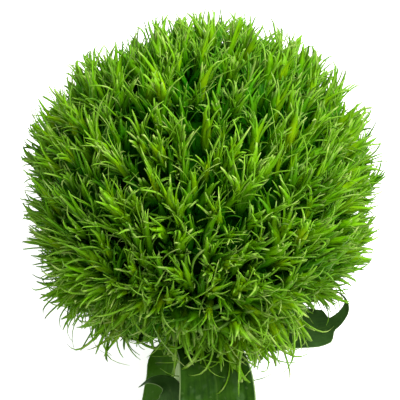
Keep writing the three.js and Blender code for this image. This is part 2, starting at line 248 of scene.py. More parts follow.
def tube_faces(stations: int, sides: int, copies: int = 1) -> tuple[Array, Array]:
    """Numbers the faces of tubes of rings: quads between the rings, and caps of quads or one triangle.

    Args:
        stations: how many rings a tube has.
        sides: how many corners a ring has, 3 or an even number.
        copies: how many tubes there are, one after another.

    Returns:
        The corner numbers of all faces in one row, and the size of each face. The faces look outwards where
        the rings run anticlockwise as seen from the far end.
    """
    k = np.arange(sides)
    after = (k + 1) % sides
    rows = np.arange(stations - 1)[:, None] * sides
    walls = np.stack([rows + k, rows + after, rows + sides + after, rows + sides + k], axis=-1).reshape(-1, 4)
    if sides == 3:
        near = np.array([[0, 2, 1]])
    else:
        j = np.arange(sides // 2 - 1)
        near = np.stack([j, sides - 1 - j, sides - 2 - j, j + 1], axis=-1)
    far = near[:, ::-1] + (stations - 1) * sides
    loops = np.concatenate([walls.ravel(), near.ravel(), far.ravel()])
    sizes = np.concatenate([np.full(len(walls), 4), np.full(2 * len(near), near.shape[1])])
    starts = np.arange(copies)[:, None] * stations * sides
    return (loops + starts).ravel(), np.tile(sizes, copies)


def make_piece(name: str, surface: Surface, material: Material) -> bpy.types.Object:
    """Makes a smooth-shaded mesh object at the origin, in metres.

    Args:
        name: the piece's name.
        surface: its corners in millimetres, its faces, UV places and marks.
        material: its finish.

    Returns:
        The new object, linked to the scene.
    """
    mesh = bpy.data.meshes.new(name)
    mesh.vertices.add(len(surface.corners))
    mesh.vertices.foreach_set("co", (surface.corners * MM).astype(np.float32).ravel())
    mesh.loops.add(len(surface.loops))
    mesh.loops.foreach_set("vertex_index", surface.loops.astype(np.int32))
    mesh.polygons.add(len(surface.sizes))
    starts = np.cumsum(surface.sizes) - surface.sizes
    mesh.polygons.foreach_set("loop_start", starts.astype(np.int32))
    mesh.polygons.foreach_set("use_smooth", np.ones(len(surface.sizes), bool))
    layer = mesh.uv_layers.new(name=UV_NAME)
    layer.data.foreach_set("uv", surface.uv[surface.loops].astype(np.float32).ravel())
    marks = mesh.attributes.new(MARKS_NAME, "FLOAT_VECTOR", "POINT")
    marks.data.foreach_set("vector", surface.marks.astype(np.float32).ravel())
    mesh.update(calc_edges=True)
    mesh.materials.append(material)
    piece = bpy.data.objects.new(name, mesh)
    bpy.context.scene.collection.objects.link(piece)
    return piece


def dress(piece: bpy.types.Object, slot: str, *nodes: str) -> None:
    """Makes a piece ride on the flower and stand for its solids, and reports it.

    Args:
        piece: the finished object.
        slot: the record's material slot; not used.
        nodes: the solids it stands for.
    """
    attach(piece, ROOT)
    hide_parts(*nodes)
    LOG.info("%s: %d faces", piece.name, len(piece.data.polygons))


# Shader sums


class Sock:
    """A shader socket that takes part in sums. Each operation adds a Math node to the material it is in."""

    def __init__(self, paint: "Paint", socket: bpy.types.NodeSocket) -> None:
        """Wraps one output socket."""
        self.paint = paint
        self.socket = socket

    def _sum(self, operation: str, first: Any, second: Any, clamp: bool = False) -> "Sock":
        """Adds one Math node.

        Args:
            operation: what the node works out.
            first: a number or a Sock.
            second: a number or a Sock.
            clamp: whether the result is kept from 0 to 1.

        Returns:
            The result.
        """
        settings = {"operation": operation, "use_clamp": clamp}
        node = self.paint.node("ShaderNodeMath", settings, {0: first, 1: second})
        return Sock(self.paint, node.outputs[0])

    def __add__(self, other: Any) -> "Sock":
        """Adds."""
        return self._sum("ADD", self, other)

    __radd__ = __add__

    def __sub__(self, other: Any) -> "Sock":
        """Subtracts."""
        return self._sum("SUBTRACT", self, other)

    def __rsub__(self, other: Any) -> "Sock":
        """Subtracts from a number."""
        return self._sum("SUBTRACT", other, self)

    def __mul__(self, other: Any) -> "Sock":
        """Multiplies."""
        return self._sum("MULTIPLY", self, other)

    __rmul__ = __mul__

    def clamped(self) -> "Sock":
        """Keeps the value from 0 to 1."""
        return self._sum("ADD", self, 0.0, clamp=True)

    def waves(self) -> "Sock":
        """Turns an angle into waves from 0 to 1, by half its sine and a half."""
        return self._sum("SINE", self, 0.0) * 0.5 + 0.5

    def distance_from(self, value: float) -> "Sock":
        """Takes the distance from a number."""
        return self._sum("ABSOLUTE", self - value, 0.0)

    def rise(self, low: float, high: float) -> "Sock":
        """Rises smoothly from 0 where the value is low to 1 where it is high, or falls if low is above high.

        Args:
            low: the value that gives 0.
            high: the value that gives 1.

        Returns:
            The risen value, from 0 to 1.
        """
        settings = {"interpolation_type": "SMOOTHSTEP", "clamp": True}
        if low <= high:
            inputs = {"Value": self, "From Min": low, "From Max": high, "To Min": 0.0, "To Max": 1.0}
        else:
            inputs = {"Value": self, "From Min": high, "From Max": low, "To Min": 1.0, "To Max": 0.0}
        return Sock(self.paint, self.paint.node("ShaderNodeMapRange", settings, inputs).outputs[0])


class Paint:
    """One material, built node by node.

    A Mix node has sockets for numbers, vectors and colours under the same names, so its share, its two
    colours and its mixed colour go by number.
    """

    mix_share = 0
    mix_colours = (6, 7)
    mix_result = 2
    noise_roughness = 0.55

    def __init__(self, name: str) -> None:
        """Starts an empty material.

        Args:
            name: its name.
        """
        self.material = bpy.data.materials.new(name)
        self.material.use_nodes = True
        self.tree = self.material.node_tree
        self.tree.nodes.clear()

    def node(self, kind: str, settings: dict[str, Any], inputs: dict[Any, Any]) -> bpy.types.Node:
        """Adds a node, sets it up, and fills its sockets with values or links.

        Args:
            kind: the node's type.
            settings: its properties, set first.
            inputs: values, Socks or sockets by input name or number.

        Returns:
            The node.
        """
        made = self.tree.nodes.new(kind)
        for key, value in settings.items():
            setattr(made, key, value)
        for key, value in inputs.items():
            target = made.inputs[key]
            if isinstance(value, Sock):
                self.tree.links.new(value.socket, target)
            elif isinstance(value, bpy.types.NodeSocket):
                self.tree.links.new(value, target)
            elif isinstance(value, tuple) and len(value) == 3 and target.type == "RGBA":
                target.default_value = (*value, 1.0)
            else:
                target.default_value = value
        return made

    def mix(self, share: Any, first: Any, second: Any) -> Sock:
        """Mixes two colours.

        Args:
            share: how much of the second, from 0 to 1.
            first: a colour or a Sock.
            second: a colour or a Sock.

        Returns:
            The mixed colour.
        """
        settings = {"data_type": "RGBA", "clamp_factor": True}
        inputs = {self.mix_share: share, self.mix_colours[0]: first, self.mix_colours[1]: second}
        return Sock(self, self.node("ShaderNodeMix", settings, inputs).outputs[self.mix_result])

    def uv(self) -> tuple[Sock, Sock]:
        """Gives the two parts of the piece's own UV map.

        Returns:
            The places across and along.
        """
        place = self.node("ShaderNodeUVMap", {"uv_map": UV_NAME}, {}).outputs[0]
        parts = self.node("ShaderNodeSeparateXYZ", {}, {0: place}).outputs
        return Sock(self, parts[0]), Sock(self, parts[1])

    def blade_place(self, stretch: Triple) -> Sock:
        """Gives the place on the piece's own UV map, stretched across and along."""
        held = self.node("ShaderNodeUVMap", {"uv_map": UV_NAME}, {}).outputs[0]
        return Sock(self, self.node("ShaderNodeMapping", {}, {"Vector": held, "Scale": stretch}).outputs[0])

    def marks(self) -> tuple[Sock, Sock, Sock]:
        """Gives the three numbers stored on the piece's corners.

        Returns:
            The numbers, each as a Sock.
        """
        held = self.node("ShaderNodeAttribute", {"attribute_name": MARKS_NAME}, {}).outputs["Vector"]
        parts = self.node("ShaderNodeSeparateXYZ", {}, {0: held}).outputs
        return Sock(self, parts[0]), Sock(self, parts[1]), Sock(self, parts[2])

    def place(self, stretch: Triple = (1.0, 1.0, 1.0)) -> Sock:
        """Gives the place on the piece in metres, stretched along each axis."""
        held = self.node("ShaderNodeTexCoord", {}, {}).outputs["Object"]
        return Sock(self, self.node("ShaderNodeMapping", {}, {"Vector": held, "Scale": stretch}).outputs[0])

    def noise(self, where: Sock, scale: float, detail: float = 2.0) -> Sock:
        """Gives a soft random pattern, from 0 to 1, with features of about 1/scale metres."""
        inputs = {"Vector": where, "Scale": scale, "Detail": detail, "Roughness": self.noise_roughness}
        return Sock(self, self.node("ShaderNodeTexNoise", {}, inputs).outputs[0])

    def bump(self, height: Sock, depth: float) -> Sock:
        """Turns heights into a normal, for a relief of the given depth in metres."""
        inputs = {"Height": height, "Distance": depth, "Strength": 1.0}
        return Sock(self, self.node("ShaderNodeBump", {}, inputs).outputs[0])

    def finish(self, shader: dict[str, Any], glow: float = 0.0, through: Colour = (0, 0, 0)) -> Material:
        """Ends the material with a plain surface that lets a share of the light through.

        Args:
            shader: the Principled BSDF's sockets.
            glow: the share of the light that passes through the tissue, 0 for none.
            through: the colour of the light that passes.

        Returns:
            The material.
        """
        surface = self.node("ShaderNodeBsdfPrincipled", {}, shader).outputs[0]
        if glow > 0.0:
            passing = self.node("ShaderNodeBsdfTranslucent", {}, {"Color": through}).outputs[0]
            surface = self.node("ShaderNodeMixShader", {}, {0: glow, 1: surface, 2: passing}).outputs[0]
        self.node("ShaderNodeOutputMaterial", {}, {"Surface": surface})
        return self.material


# Finishes


@dataclass(frozen=True)
class BractFinish:
    """The bracts: yellow-green closed shoots, ribbed along, that run out into paler bristles; painted shade
    darkens them towards the head's middle.

    Marks on the corners: the shoot's own tint, how far out of the head the corner lies, which sets the
    painted shade, and how dry the shoot is. A range says where something starts and ends, along the bract,
    out of the head or in the values of a noise.
    """

    name: str
    # painted shade: the dark colour that stands in for shade towards the head's middle
    painted_shade: Colour = (0.008, 0.128, 0.0002)
    fresh: Colour = (0.058, 0.285, 0.001)
    bright: Colour = (0.39, 0.59, 0.001)
    bristle: Colour = (0.156, 0.39, 0.003)
    # tip: the pale thread ends, partly their own paler colour and partly a painted highlight
    tip: Colour = (0.41, 0.56, 0.130)
    dry: Colour = (0.17, 0.12, 0.02)
    patch_scale: float = 60.0
    thread_scale: float = 320.0
    speck_scale: float = 900.0
    body_by_tint: float = 0.7
    body_by_patch: float = 0.9
    body_less: float = 0.35
    thread_along: Range = (0.50, 0.80)
    pale_along: Range = (0.72, 1.0)
    pale_noise: Range = (0.46, 0.68)
    pale_least: float = 0.15
    ribs: float = 3.0
    rib_share: float = 0.22
    rib_relief: float = 0.00003
    speck_noise: Range = (0.62, 0.8)
    speck_share: float = 0.2
    dry_along: Range = (0.2, 0.6)
    dry_share: float = 0.55
    # where the painted shade fades over the out mark, and how much it varies in broad patches
    shade_fade_out: Range = (0.04, 0.90)
    shade_patch_noise: Range = (0.34, 0.60)
    shade_patch_least: float = 0.72
    shade_patch_varies: float = 0.34
    roughness: float = 0.44
    specular: float = 0.06
    glow: float = 0.11
    through: Colour = (0.12, 0.34, 0.001)

    def material(self) -> Material:
        """Builds the finish from the bract's UV map and the corners' marks.

        The body runs into the thread, and only some threads have a pale end, partly their own paler colour
        and partly a painted highlight. Towards the head's middle the colour is painted dark as shade, and
        so, a little, are broad patches farther out, as painted shade in patches.

        Returns:
            The material.
        """
        paint = Paint(self.name)
        across, along = paint.uv()
        tint, out, dryness = paint.marks()
        place = paint.place()
        patches = paint.noise(place, self.patch_scale)
        specks = paint.noise(place, self.speck_scale).rise(*self.speck_noise)
        brightness = (tint * self.body_by_tint + patches * self.body_by_patch - self.body_less).clamped()
        body = paint.mix(brightness, self.fresh, self.bright)
        chosen = paint.noise(place, self.thread_scale).rise(*self.pale_noise)
        # pale thread ends: partly their own colour, partly a painted highlight
        pale = along.rise(*self.pale_along) * (chosen * (1.0 - self.pale_least) + self.pale_least)
        thread = paint.mix(pale, self.bristle, self.tip)
        blade = paint.mix(along.rise(*self.thread_along), body, thread)
        ribs = (across * (self.ribs * FULL_TURN)).waves()
        ribbed = paint.mix(ribs * (1.0 - along) * self.rib_share, blade, self.fresh)
        specked = paint.mix(specks * self.speck_share, ribbed, self.fresh)
        dried = paint.mix(dryness * along.rise(*self.dry_along) * self.dry_share, specked, self.dry)
        patchy_painted_light = patches.rise(*self.shade_patch_noise) * self.shade_patch_varies + self.shade_patch_least
        # painted shade: the colour darkens towards the head's middle, and a little in broad patches
        colour = paint.mix(out.rise(*self.shade_fade_out) * patchy_painted_light, self.painted_shade, dried)
        shader = {
            "Base Color": colour,
            "Roughness": self.roughness,
            "Specular IOR Level": self.specular,
            "Normal": paint.bump(ribs, self.rib_relief),
        }
        return paint.finish(shader, self.glow, self.through)


@dataclass(frozen=True)
class CorePaintedShadeFinish:
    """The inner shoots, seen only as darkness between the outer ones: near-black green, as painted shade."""

    name: str = "inner_shoots_painted_shade"
    # painted shade: near-black greens for the gaps between the outer shoots
    dark: Colour = (0.003, 0.035, 0.0003)
    light: Colour = (0.006, 0.060, 0.0003)
    patch_scale: float = 500.0
    patch_detail: float = 3.0
    patch_noise: Range = (0.35, 0.7)
    roughness: float = 0.9

    def material(self) -> Material:
        """Builds the finish.

        Returns:
            The material.
        """
        paint = Paint(self.name)
        patches = paint.noise(paint.place(), self.patch_scale, self.patch_detail)
        colour = paint.mix(patches.rise(*self.patch_noise), self.dark, self.light)
        shader = {"Base Color": colour, "Roughness": self.roughness, "Specular IOR Level": 0.0}
        return paint.finish(shader)


@dataclass(frozen=True)
class LeafFinish:
    """The leaf blades: dark and satin above, paler below, with parallel veins and a thin pale margin.

    Marks on the corners: 1 on the upper face and 0 on the lower, the leaf's tint, and how grey its bloom is.
    The tint is partly the leaf's own tone and partly painted light and shade, set for each leaf to how
    light it looks where it lies. The lightness is a sum of shares of cloud, streaks, tint and grain. The
    ranges of the rib and the margin are distances from the middle, in widths of the leaf.
    """

    name: str = "leaf_blade"
    upper_dark: Colour = (0.004, 0.026, 0.0005)
    upper_light: Colour = (0.045, 0.138, 0.0045)
    lower_dark: Colour = (0.020, 0.090, 0.003)
    lower_light: Colour = (0.100, 0.260, 0.013)
    rib: Colour = (0.070, 0.150, 0.018)
    bloom: Colour = (0.080, 0.160, 0.050)
    margin: Colour = (0.30, 0.42, 0.17)
    speck: Colour = (0.110, 0.190, 0.050)
    cloud_scale: float = 210.0
    grain_scale: float = 1500.0
    speck_scale: float = 900.0
    blotch_scale: float = 330.0
    streak_stretch: Triple = (22.0, 2.5, 1.0)
    by_cloud: float = 1.3
    by_streak: float = 0.8
    by_tint: float = 0.8
    by_grain: float = 0.3
    lightness_less: float = 1.25
    veins: float = 15.0
    vein_wander: float = 3.0
    vein_share: float = 0.07
    blotch_noise: Range = (0.58, 0.74)
    blotch_share: float = 0.55
    wax_least: float = 0.1
    speck_noise: Range = (0.72, 0.80)
    speck_share: float = 0.25
    rib_edge: Range = (0.035, 0.008)
    rib_below: float = 0.75
    rib_less_above: float = 0.35
    margin_edge: Range = (0.482, 0.496)
    margin_share: float = 0.85
    relief: float = 0.00003
    roughness: float = 0.44
    roughness_varies: float = 0.14
    specular: float = 0.06
    glow: float = 0.10
    through: Colour = (0.06, 0.16, 0.005)

    def material(self) -> Material:
        """Builds the finish from the blade's UV map and the corners' marks.

        Returns:
            The material.
        """
        paint = Paint(self.name)
        across, _ = paint.uv()
        upper, tint, waxy = paint.marks()
        place = paint.place()
        cloud = paint.noise(place, self.cloud_scale, 3.0)
        grain = paint.noise(place, self.grain_scale, 2.0)
        specks = paint.noise(place, self.speck_scale, 0.0).rise(*self.speck_noise)
        streaks = paint.noise(paint.blade_place(self.streak_stretch), 1.0, 3.0)
        blotches = paint.noise(place, self.blotch_scale, 1.0).rise(*self.blotch_noise)
        total = cloud * self.by_cloud + streaks * self.by_streak + tint * self.by_tint + grain * self.by_grain
        lightness = (total - self.lightness_less).clamped()
        top = paint.mix(lightness, self.upper_dark, self.upper_light)
        under = paint.mix(lightness, self.lower_dark, self.lower_light)
        blade = paint.mix(upper, under, top)
        veins = (across * (self.veins * FULL_TURN) + streaks * self.vein_wander).waves()
        veined = paint.mix(veins * self.vein_share, blade, self.rib)
        bloomed = paint.mix(blotches * streaks * self.blotch_share, veined, self.bloom)
        waxed = paint.mix(waxy * (cloud * (1.0 - self.wax_least) + self.wax_least), bloomed, self.bloom)
        specked = paint.mix(specks * self.speck_share, waxed, self.speck)
        middle = across.distance_from(0.5)
        rib_share = self.rib_below - upper * self.rib_less_above
        ribbed = paint.mix(middle.rise(*self.rib_edge) * rib_share, specked, self.rib)
        edged = paint.mix(middle.rise(*self.margin_edge) * self.margin_share, ribbed, self.margin)
        shader = {
            "Base Color": edged,
            "Roughness": self.roughness + cloud * self.roughness_varies,
            "Specular IOR Level": self.specular,
            "Normal": paint.bump(veins * 0.5 + grain * 0.5, self.relief),
        }
        return paint.finish(shader, self.glow, self.through)


@dataclass(frozen=True)
class StemFinish:
    """The stem: pale grey-green with a bloom and fine lines, yellower at the joints, with a moist cut.

    Marks on the corners: 1 on the cut face, how near the corner is to a joint, and the share of the radius.
    """

    name: str = "stem_skin"
    skin: Colour = (0.36, 0.54, 0.17)
    bloom: Colour = (0.50, 0.62, 0.30)
    joint: Colour = (0.30, 0.40, 0.10)
    cut_rim: Colour = (0.30, 0.46, 0.14)
    cut_pith: Colour = (0.70, 0.78, 0.48)
    streak_stretch: Triple = (1.0, 0.12, 1.0)
    streak_scale: float = 1400.0
    cloud_scale: float = 120.0
    by_streak: float = 0.7
    by_cloud: float = 0.6
    bloom_less: float = 0.1
    joint_share: float = 0.7
    rim_to_pith: Range = (0.95, 0.6)
    lines: float = 24.0
    line_relief: float = 0.3
    streak_relief: float = 0.7
    relief: float = 0.00005
    roughness: float = 0.55
    cut_smoother: float = 0.2
    specular: float = 0.35

    def material(self) -> Material:
        """Builds the finish.

        Returns:
            The material.
        """
        paint = Paint(self.name)
        round_it, _ = paint.uv()
        cut, near_joint, share = paint.marks()
        streaks = paint.noise(paint.place(self.streak_stretch), self.streak_scale, 3.0)
        cloud = paint.noise(paint.place(), self.cloud_scale, 2.0)
        bloomed = (streaks * self.by_streak + cloud * self.by_cloud - self.bloom_less).clamped()
        skin = paint.mix(bloomed, self.skin, self.bloom)
        jointed = paint.mix(near_joint * self.joint_share, skin, self.joint)
        face = paint.mix(share.rise(*self.rim_to_pith), self.cut_rim, self.cut_pith)
        colour = paint.mix(cut, jointed, face)
        lines = (round_it * (self.lines * FULL_TURN)).waves()
        relief = lines * self.line_relief + streaks * self.streak_relief
        shader = {
            "Base Color": colour,
            "Roughness": self.roughness - cut * self.cut_smoother,
            "Specular IOR Level": self.specular,
            "Normal": paint.bump(relief, self.relief),
        }
        return paint.finish(shader)


@dataclass(frozen=True)
class FloorFinish:
    """The plain pale surface that the flower lies on, lit a little from below like a light table."""

    name: str = "pale_surface"
    colour: Colour = (0.92, 0.92, 0.92)
    light: Colour = (1.0, 1.0, 1.0)
    own_light: float = 0.64
    roughness: float = 0.9

    def material(self) -> Material:
        """Builds the finish.

        Returns:
            The material.
        """
        paint = Paint(self.name)
        shader = {
            "Base Color": self.colour,
            "Roughness": self.roughness,
            "Emission Color": self.light,
            "Emission Strength": self.own_light,
        }
        return paint.finish(shader)


# The stem


@dataclass
class Stem:
    """The jointed stem, from just under the head's core to its cut end, which rests on the surface."""

    layout: Layout
    sides: int = 32
    stations: int = 190
    ridges: float = 4.0
    ridge_height: float = 0.05
    joint_search: int = 2000
    joint_reach: float = 0.02
    joint_stations: int = 11
    probe_to: float = 0.3
    probes: int = 30
    cut_rings: tuple[float, ...] = (0.97, 0.8, 0.5, 0.2)
    curve: SmoothCurve = field(init=False)
    joint_shares: Array = field(init=False)

    def __post_init__(self) -> None:
        """Lays out the middle line and finds its joints."""
        plan = self.layout
        top = plan.centre - plan.axis * (plan.core_radius + plan.stem_gap)
        self.curve = SmoothCurve(np.vstack([top, plan.place(plan.stem_route)]))
        shares = np.linspace(0.0, 1.0, self.joint_search)
        heights = self.curve.at(self.curve.t_at(shares))[:, 1] - plan.head_centre[1]
        self.joint_shares = np.interp(-np.array(plan.joints), -heights, shares)

    def frame_at(self, share: Array) -> tuple[Array, Array, Array]:
        """Finds the middle line and the two cross directions.

        Args:
            share: shares of the stem's length from the top.

        Returns:
            Centres, sideways unit vectors (towards +X) and upward ones (towards +Z).
        """
        t = self.curve.t_at(share)
        along = self.curve.direction(t)
        side = unit(np.cross([0.0, 0.0, 1.0], along))
        return self.curve.at(t), side, np.cross(along, side)

    def joint_nearness(self, share: Array) -> Array:
        """Gives 1 at a joint, and exp(-d^2) at a distance of d lengths of a joint's swelling from it."""
        away = (share[:, None] - self.joint_shares) * self.curve.lengths[-1] / self.layout.joint_length
        return np.exp(-away * away).sum(axis=1)

    def radius(self, share: Array) -> Array:
        """Gives the radius: an even taper, swollen at each joint."""
        return self.layout.plain_radius(share) + self.layout.joint_swell * self.joint_nearness(share)

    def surface(self) -> Surface:
        """Carries a slightly four-cornered section along the middle line, with rings inward over the cut.

        The section's radius is r (1 + e cos 4a) at the turn a, with r the stem's radius there and e the
        height of its ridges. The stations crowd together at the joints.

        Returns:
            The closed surface.
        """
        even = np.linspace(0.0, 1.0, self.stations)
        about = np.linspace(-self.joint_reach, self.joint_reach, self.joint_stations)
        share = np.sort(np.concatenate([even, *(self.joint_shares[:, None] + about)]))
        share = share[(share >= 0.0) & (share <= 1.0)]
        inward = np.array(self.cut_rings)
        shares = np.concatenate([share, np.ones(len(inward))])
        scale = np.concatenate([np.ones(len(share)), inward])
        centre, side, up = self.frame_at(shares)
        turn = (np.arange(self.sides) + 0.5) / self.sides * FULL_TURN
        ridge = 1.0 + self.ridge_height * np.cos(self.ridges * turn)
        reach = (self.radius(shares) * scale)[:, None] * ridge[None, :]
        corners = centre[:, None] + reach[..., None] * (
            np.cos(turn)[None, :, None] * side[:, None] + np.sin(turn)[None, :, None] * up[:, None]
        )
        corners[..., 2] = np.maximum(corners[..., 2], 0.0)
        uv = np.stack(np.broadcast_arrays(turn[None, :] / FULL_TURN, shares[:, None]), axis=-1)
        on_cut = (scale < 1.0).astype(float)
        rows = np.stack([on_cut, np.clip(self.joint_nearness(shares), 0.0, 1.0), scale], axis=-1)
        marks = np.broadcast_to(rows[:, None, :], corners.shape)
        faces = tube_faces(len(shares), self.sides)
        return Surface(corners.reshape(-1, 3), *faces, uv.reshape(-1, 2), marks.reshape(-1, 3))

    def obstacle(self) -> Array:
        """Gives points along the upper stem's middle line, for the shoots to keep clear of."""
        return self.frame_at(np.linspace(0.0, self.probe_to, self.probes))[0]

    def build(self, material: Material) -> None:
        """Makes the stem and lets it stand for its solid."""
        dress(make_piece("stem_dressed", self.surface(), material), "stem_skin", "stem")


# The leaves


@dataclass
class Leaf:
    """One lance-shaped leaf on its midrib, channelled along the middle and waved at its margins."""

    name: LeafName
    joint: int
    turn: float
    half: float
    widest_at: float
    channel: float
    wave: float
    route: tuple[Triple, ...]
    facing: tuple[Triple, ...]
    # the leaf's tint: partly its own tone, partly painted light and shade for where it lies
    tint: float = 0.5
    bloom: float = 0.0
    base_share: float = 0.22
    narrows_at: float = 2.0
    narrows_within: float = 0.03
    narrows_to: float = 1.0
    stations: int = 84
    columns: int = 21
    column_crowding: float = 1.25
    probe_stations: int = 60
    probe_columns: int = 13
    rise: float = 0.8
    tip_half: float = 0.14
    solid_half_thickness: float = 0.35
    middle_half_thickness: float = 0.24
    margin_half_thickness: float = 0.09
    thinning_power: float = 1.5
    thin_least: float = 0.15
    groove_depth: float = 0.30
    groove_width: float = 0.07
    keel_share: float = 0.8
    stem_gap: float = 0.35
    lowest: float = 0.02
    wave_turns: float = 17.0
    wave_shift: float = 1.3
    ripple: float = 0.10
    ripple_turns: float = 61.0
    ripple_shift: float = 2.0

    def half_width(self, share: Array) -> Array:
        """Gives half the blade's width, a power curve that rises to its widest place and falls to the tip.

        With w the widest place and r the rise, it is (s/w)^r ((1-s)/(1-w))^(r(1-w)/w), eased into the
        base's width. A leaf with a drawn-out tip narrows within a short stretch to a share of that.

        Args:
            share: shares s of the midrib's length.

        Returns:
            Half the width at each share.
        """
        fall = self.rise * (1.0 - self.widest_at) / self.widest_at
        lance = (share / self.widest_at) ** self.rise * ((1.0 - share) / (1.0 - self.widest_at)) ** fall
        stalk = self.base_share * np.maximum(0.0, 1.0 - share / self.widest_at)
        narrowed = smooth_step(share, self.narrows_at, self.narrows_at + self.narrows_within)
        drawn = 1.0 - (1.0 - self.narrows_to) * narrowed
        return np.maximum(self.half * (lance * (1.0 - stalk) + stalk) * drawn, self.tip_half)

    def midrib(self, stem: Stem) -> tuple[SmoothCurve, SmoothCurve]:
        """Lays the midrib from the side of its joint through its route, and the way its upper face looks.

        Args:
            stem: the stem that carries the leaf.

        Returns:
            The midrib, and the curve of facing directions on the same parameter.
        """
        share = np.array([stem.joint_shares[self.joint]])
        centre, side, up = (rows[0] for rows in stem.frame_at(share))
        angle = math.radians(self.turn)
        outwards = side * math.cos(angle) + up * math.sin(angle)
        plan = stem.layout
        joint_radius = plan.plain_radius(share[0]) + plan.joint_swell
        start = centre + outwards * (joint_radius + self.stem_gap + self.solid_half_thickness)
        line = SmoothCurve(np.vstack([start, plan.place(self.route)]))
        return line, SmoothCurve(np.vstack([-outwards, np.array(self.facing)]))

    def blade(self, stem: Stem, share: Array, across: Array) -> tuple[Array, Array, Array]:
        """Works out the middle surface of the blade.

        At the share s and across x from -1 to 1 it lies at midrib + side h x + up (h c + v) x^2, with h
        half the width, c the channel and v a wave and a finer ripple. Each is its height times sin(pi s) and
        sin(n s + m x + a), with turns n and a shift m of its own; a is 0 for the wave, and the leaf's turn for
        the ripple. A row that would sink into the surface is lifted onto it.

        Args:
            stem: the stem that carries the leaf.
            share: shares of the midrib's length.
            across: places across, from -1 to 1.

        Returns:
            The points, the upward directions of each row, and half the width of each row.
        """
        line, looks = self.midrib(stem)
        t = line.t_at(share)
        along = line.direction(t)
        side = unit(np.cross(looks.at(t), along))
        up = np.cross(along, side)
        reach = self.half_width(share)
        s = share[:, None]
        fading = np.sin(math.pi * share)[:, None]
        waved = self.wave * np.sin(s * self.wave_turns + across * self.wave_shift) * fading
        angle = s * self.ripple_turns + across * self.ripple_shift + self.turn
        rippled = self.ripple * np.sin(angle) * fading
        lift = (reach[:, None] * self.channel + waved + rippled) * across**2
        aside = reach[:, None] * across
        points = line.at(t)[:, None] + side[:, None] * aside[..., None] + up[:, None] * lift[..., None]
        sunk = points[..., 2].min(axis=1) - self.solid_half_thickness * np.abs(up[:, 2]) - self.lowest
        points[..., 2] -= np.minimum(sunk, 0.0)[:, None]
        return points, up, reach

    def surface(self, stem: Stem) -> Surface:
        """Gives the blade its thickness, in rings over the lower face and back over the upper one.

        The blade is thickest at the midrib, where the upper face has a groove and the lower one a keel.
        Both are a bell exp(-(x/w)^2) across, with w the groove's width, that fades towards the tip.

        Args:
            stem: the stem that carries the leaf.

        Returns:
            The closed surface.
        """
        share = np.linspace(0.0, 1.0, self.stations)
        even = np.linspace(-1.0, 1.0, self.columns)
        across = np.sign(even) * np.abs(even) ** self.column_crowding
        points, up, reach = self.blade(stem, share, across)
        size = np.clip(reach / self.half, self.thin_least, 1.0)[:, None]
        thicker = self.middle_half_thickness - self.margin_half_thickness
        thin = self.margin_half_thickness + thicker * (1.0 - np.abs(across) ** self.thinning_power)
        bell = np.exp(-((across / self.groove_width) ** 2)) * (1.0 - share[:, None] ** 2)
        thick = thin[None, :] * size**0.5
        top = thick - self.groove_depth * bell * size
        bottom = thick + self.keel_share * self.groove_depth * bell * size
        upper = points + up[:, None] * top[..., None]
        lower = points - up[:, None] * bottom[..., None]
        lower[..., 2] = np.maximum(lower[..., 2], 0.0)
        rings = np.concatenate([lower, upper[:, ::-1]], axis=1)
        u = np.concatenate([even, even[::-1]]) * 0.5 + 0.5
        uv = np.stack(np.broadcast_arrays(u[None, :], share[:, None]), axis=-1)
        is_upper = np.concatenate([np.zeros(self.columns), np.ones(self.columns)])
        row = np.stack(np.broadcast_arrays(is_upper, self.tint, self.bloom), axis=-1)
        marks = np.broadcast_to(row, rings.shape)
        faces = tube_faces(self.stations, 2 * self.columns)
        return Surface(rings.reshape(-1, 3), *faces, uv.reshape(-1, 2), marks.reshape(-1, 3))

    def build(self, stem: Stem, material: Material) -> None:
        """Makes the leaf and lets it stand for its solid."""
        piece = make_piece(f"{self.name.value}_dressed", self.surface(stem), material)
        dress(piece, "leaf_blade", self.name.value)

    def obstacle(self, stem: Stem) -> Array:
        """Gives points spread over the blade, for the shoots to keep clear of."""
        share = np.linspace(0.0, 1.0, self.probe_stations)
        points, _, _ = self.blade(stem, share, np.linspace(-1.0, 1.0, self.probe_columns))
        return points.reshape(-1, 3)


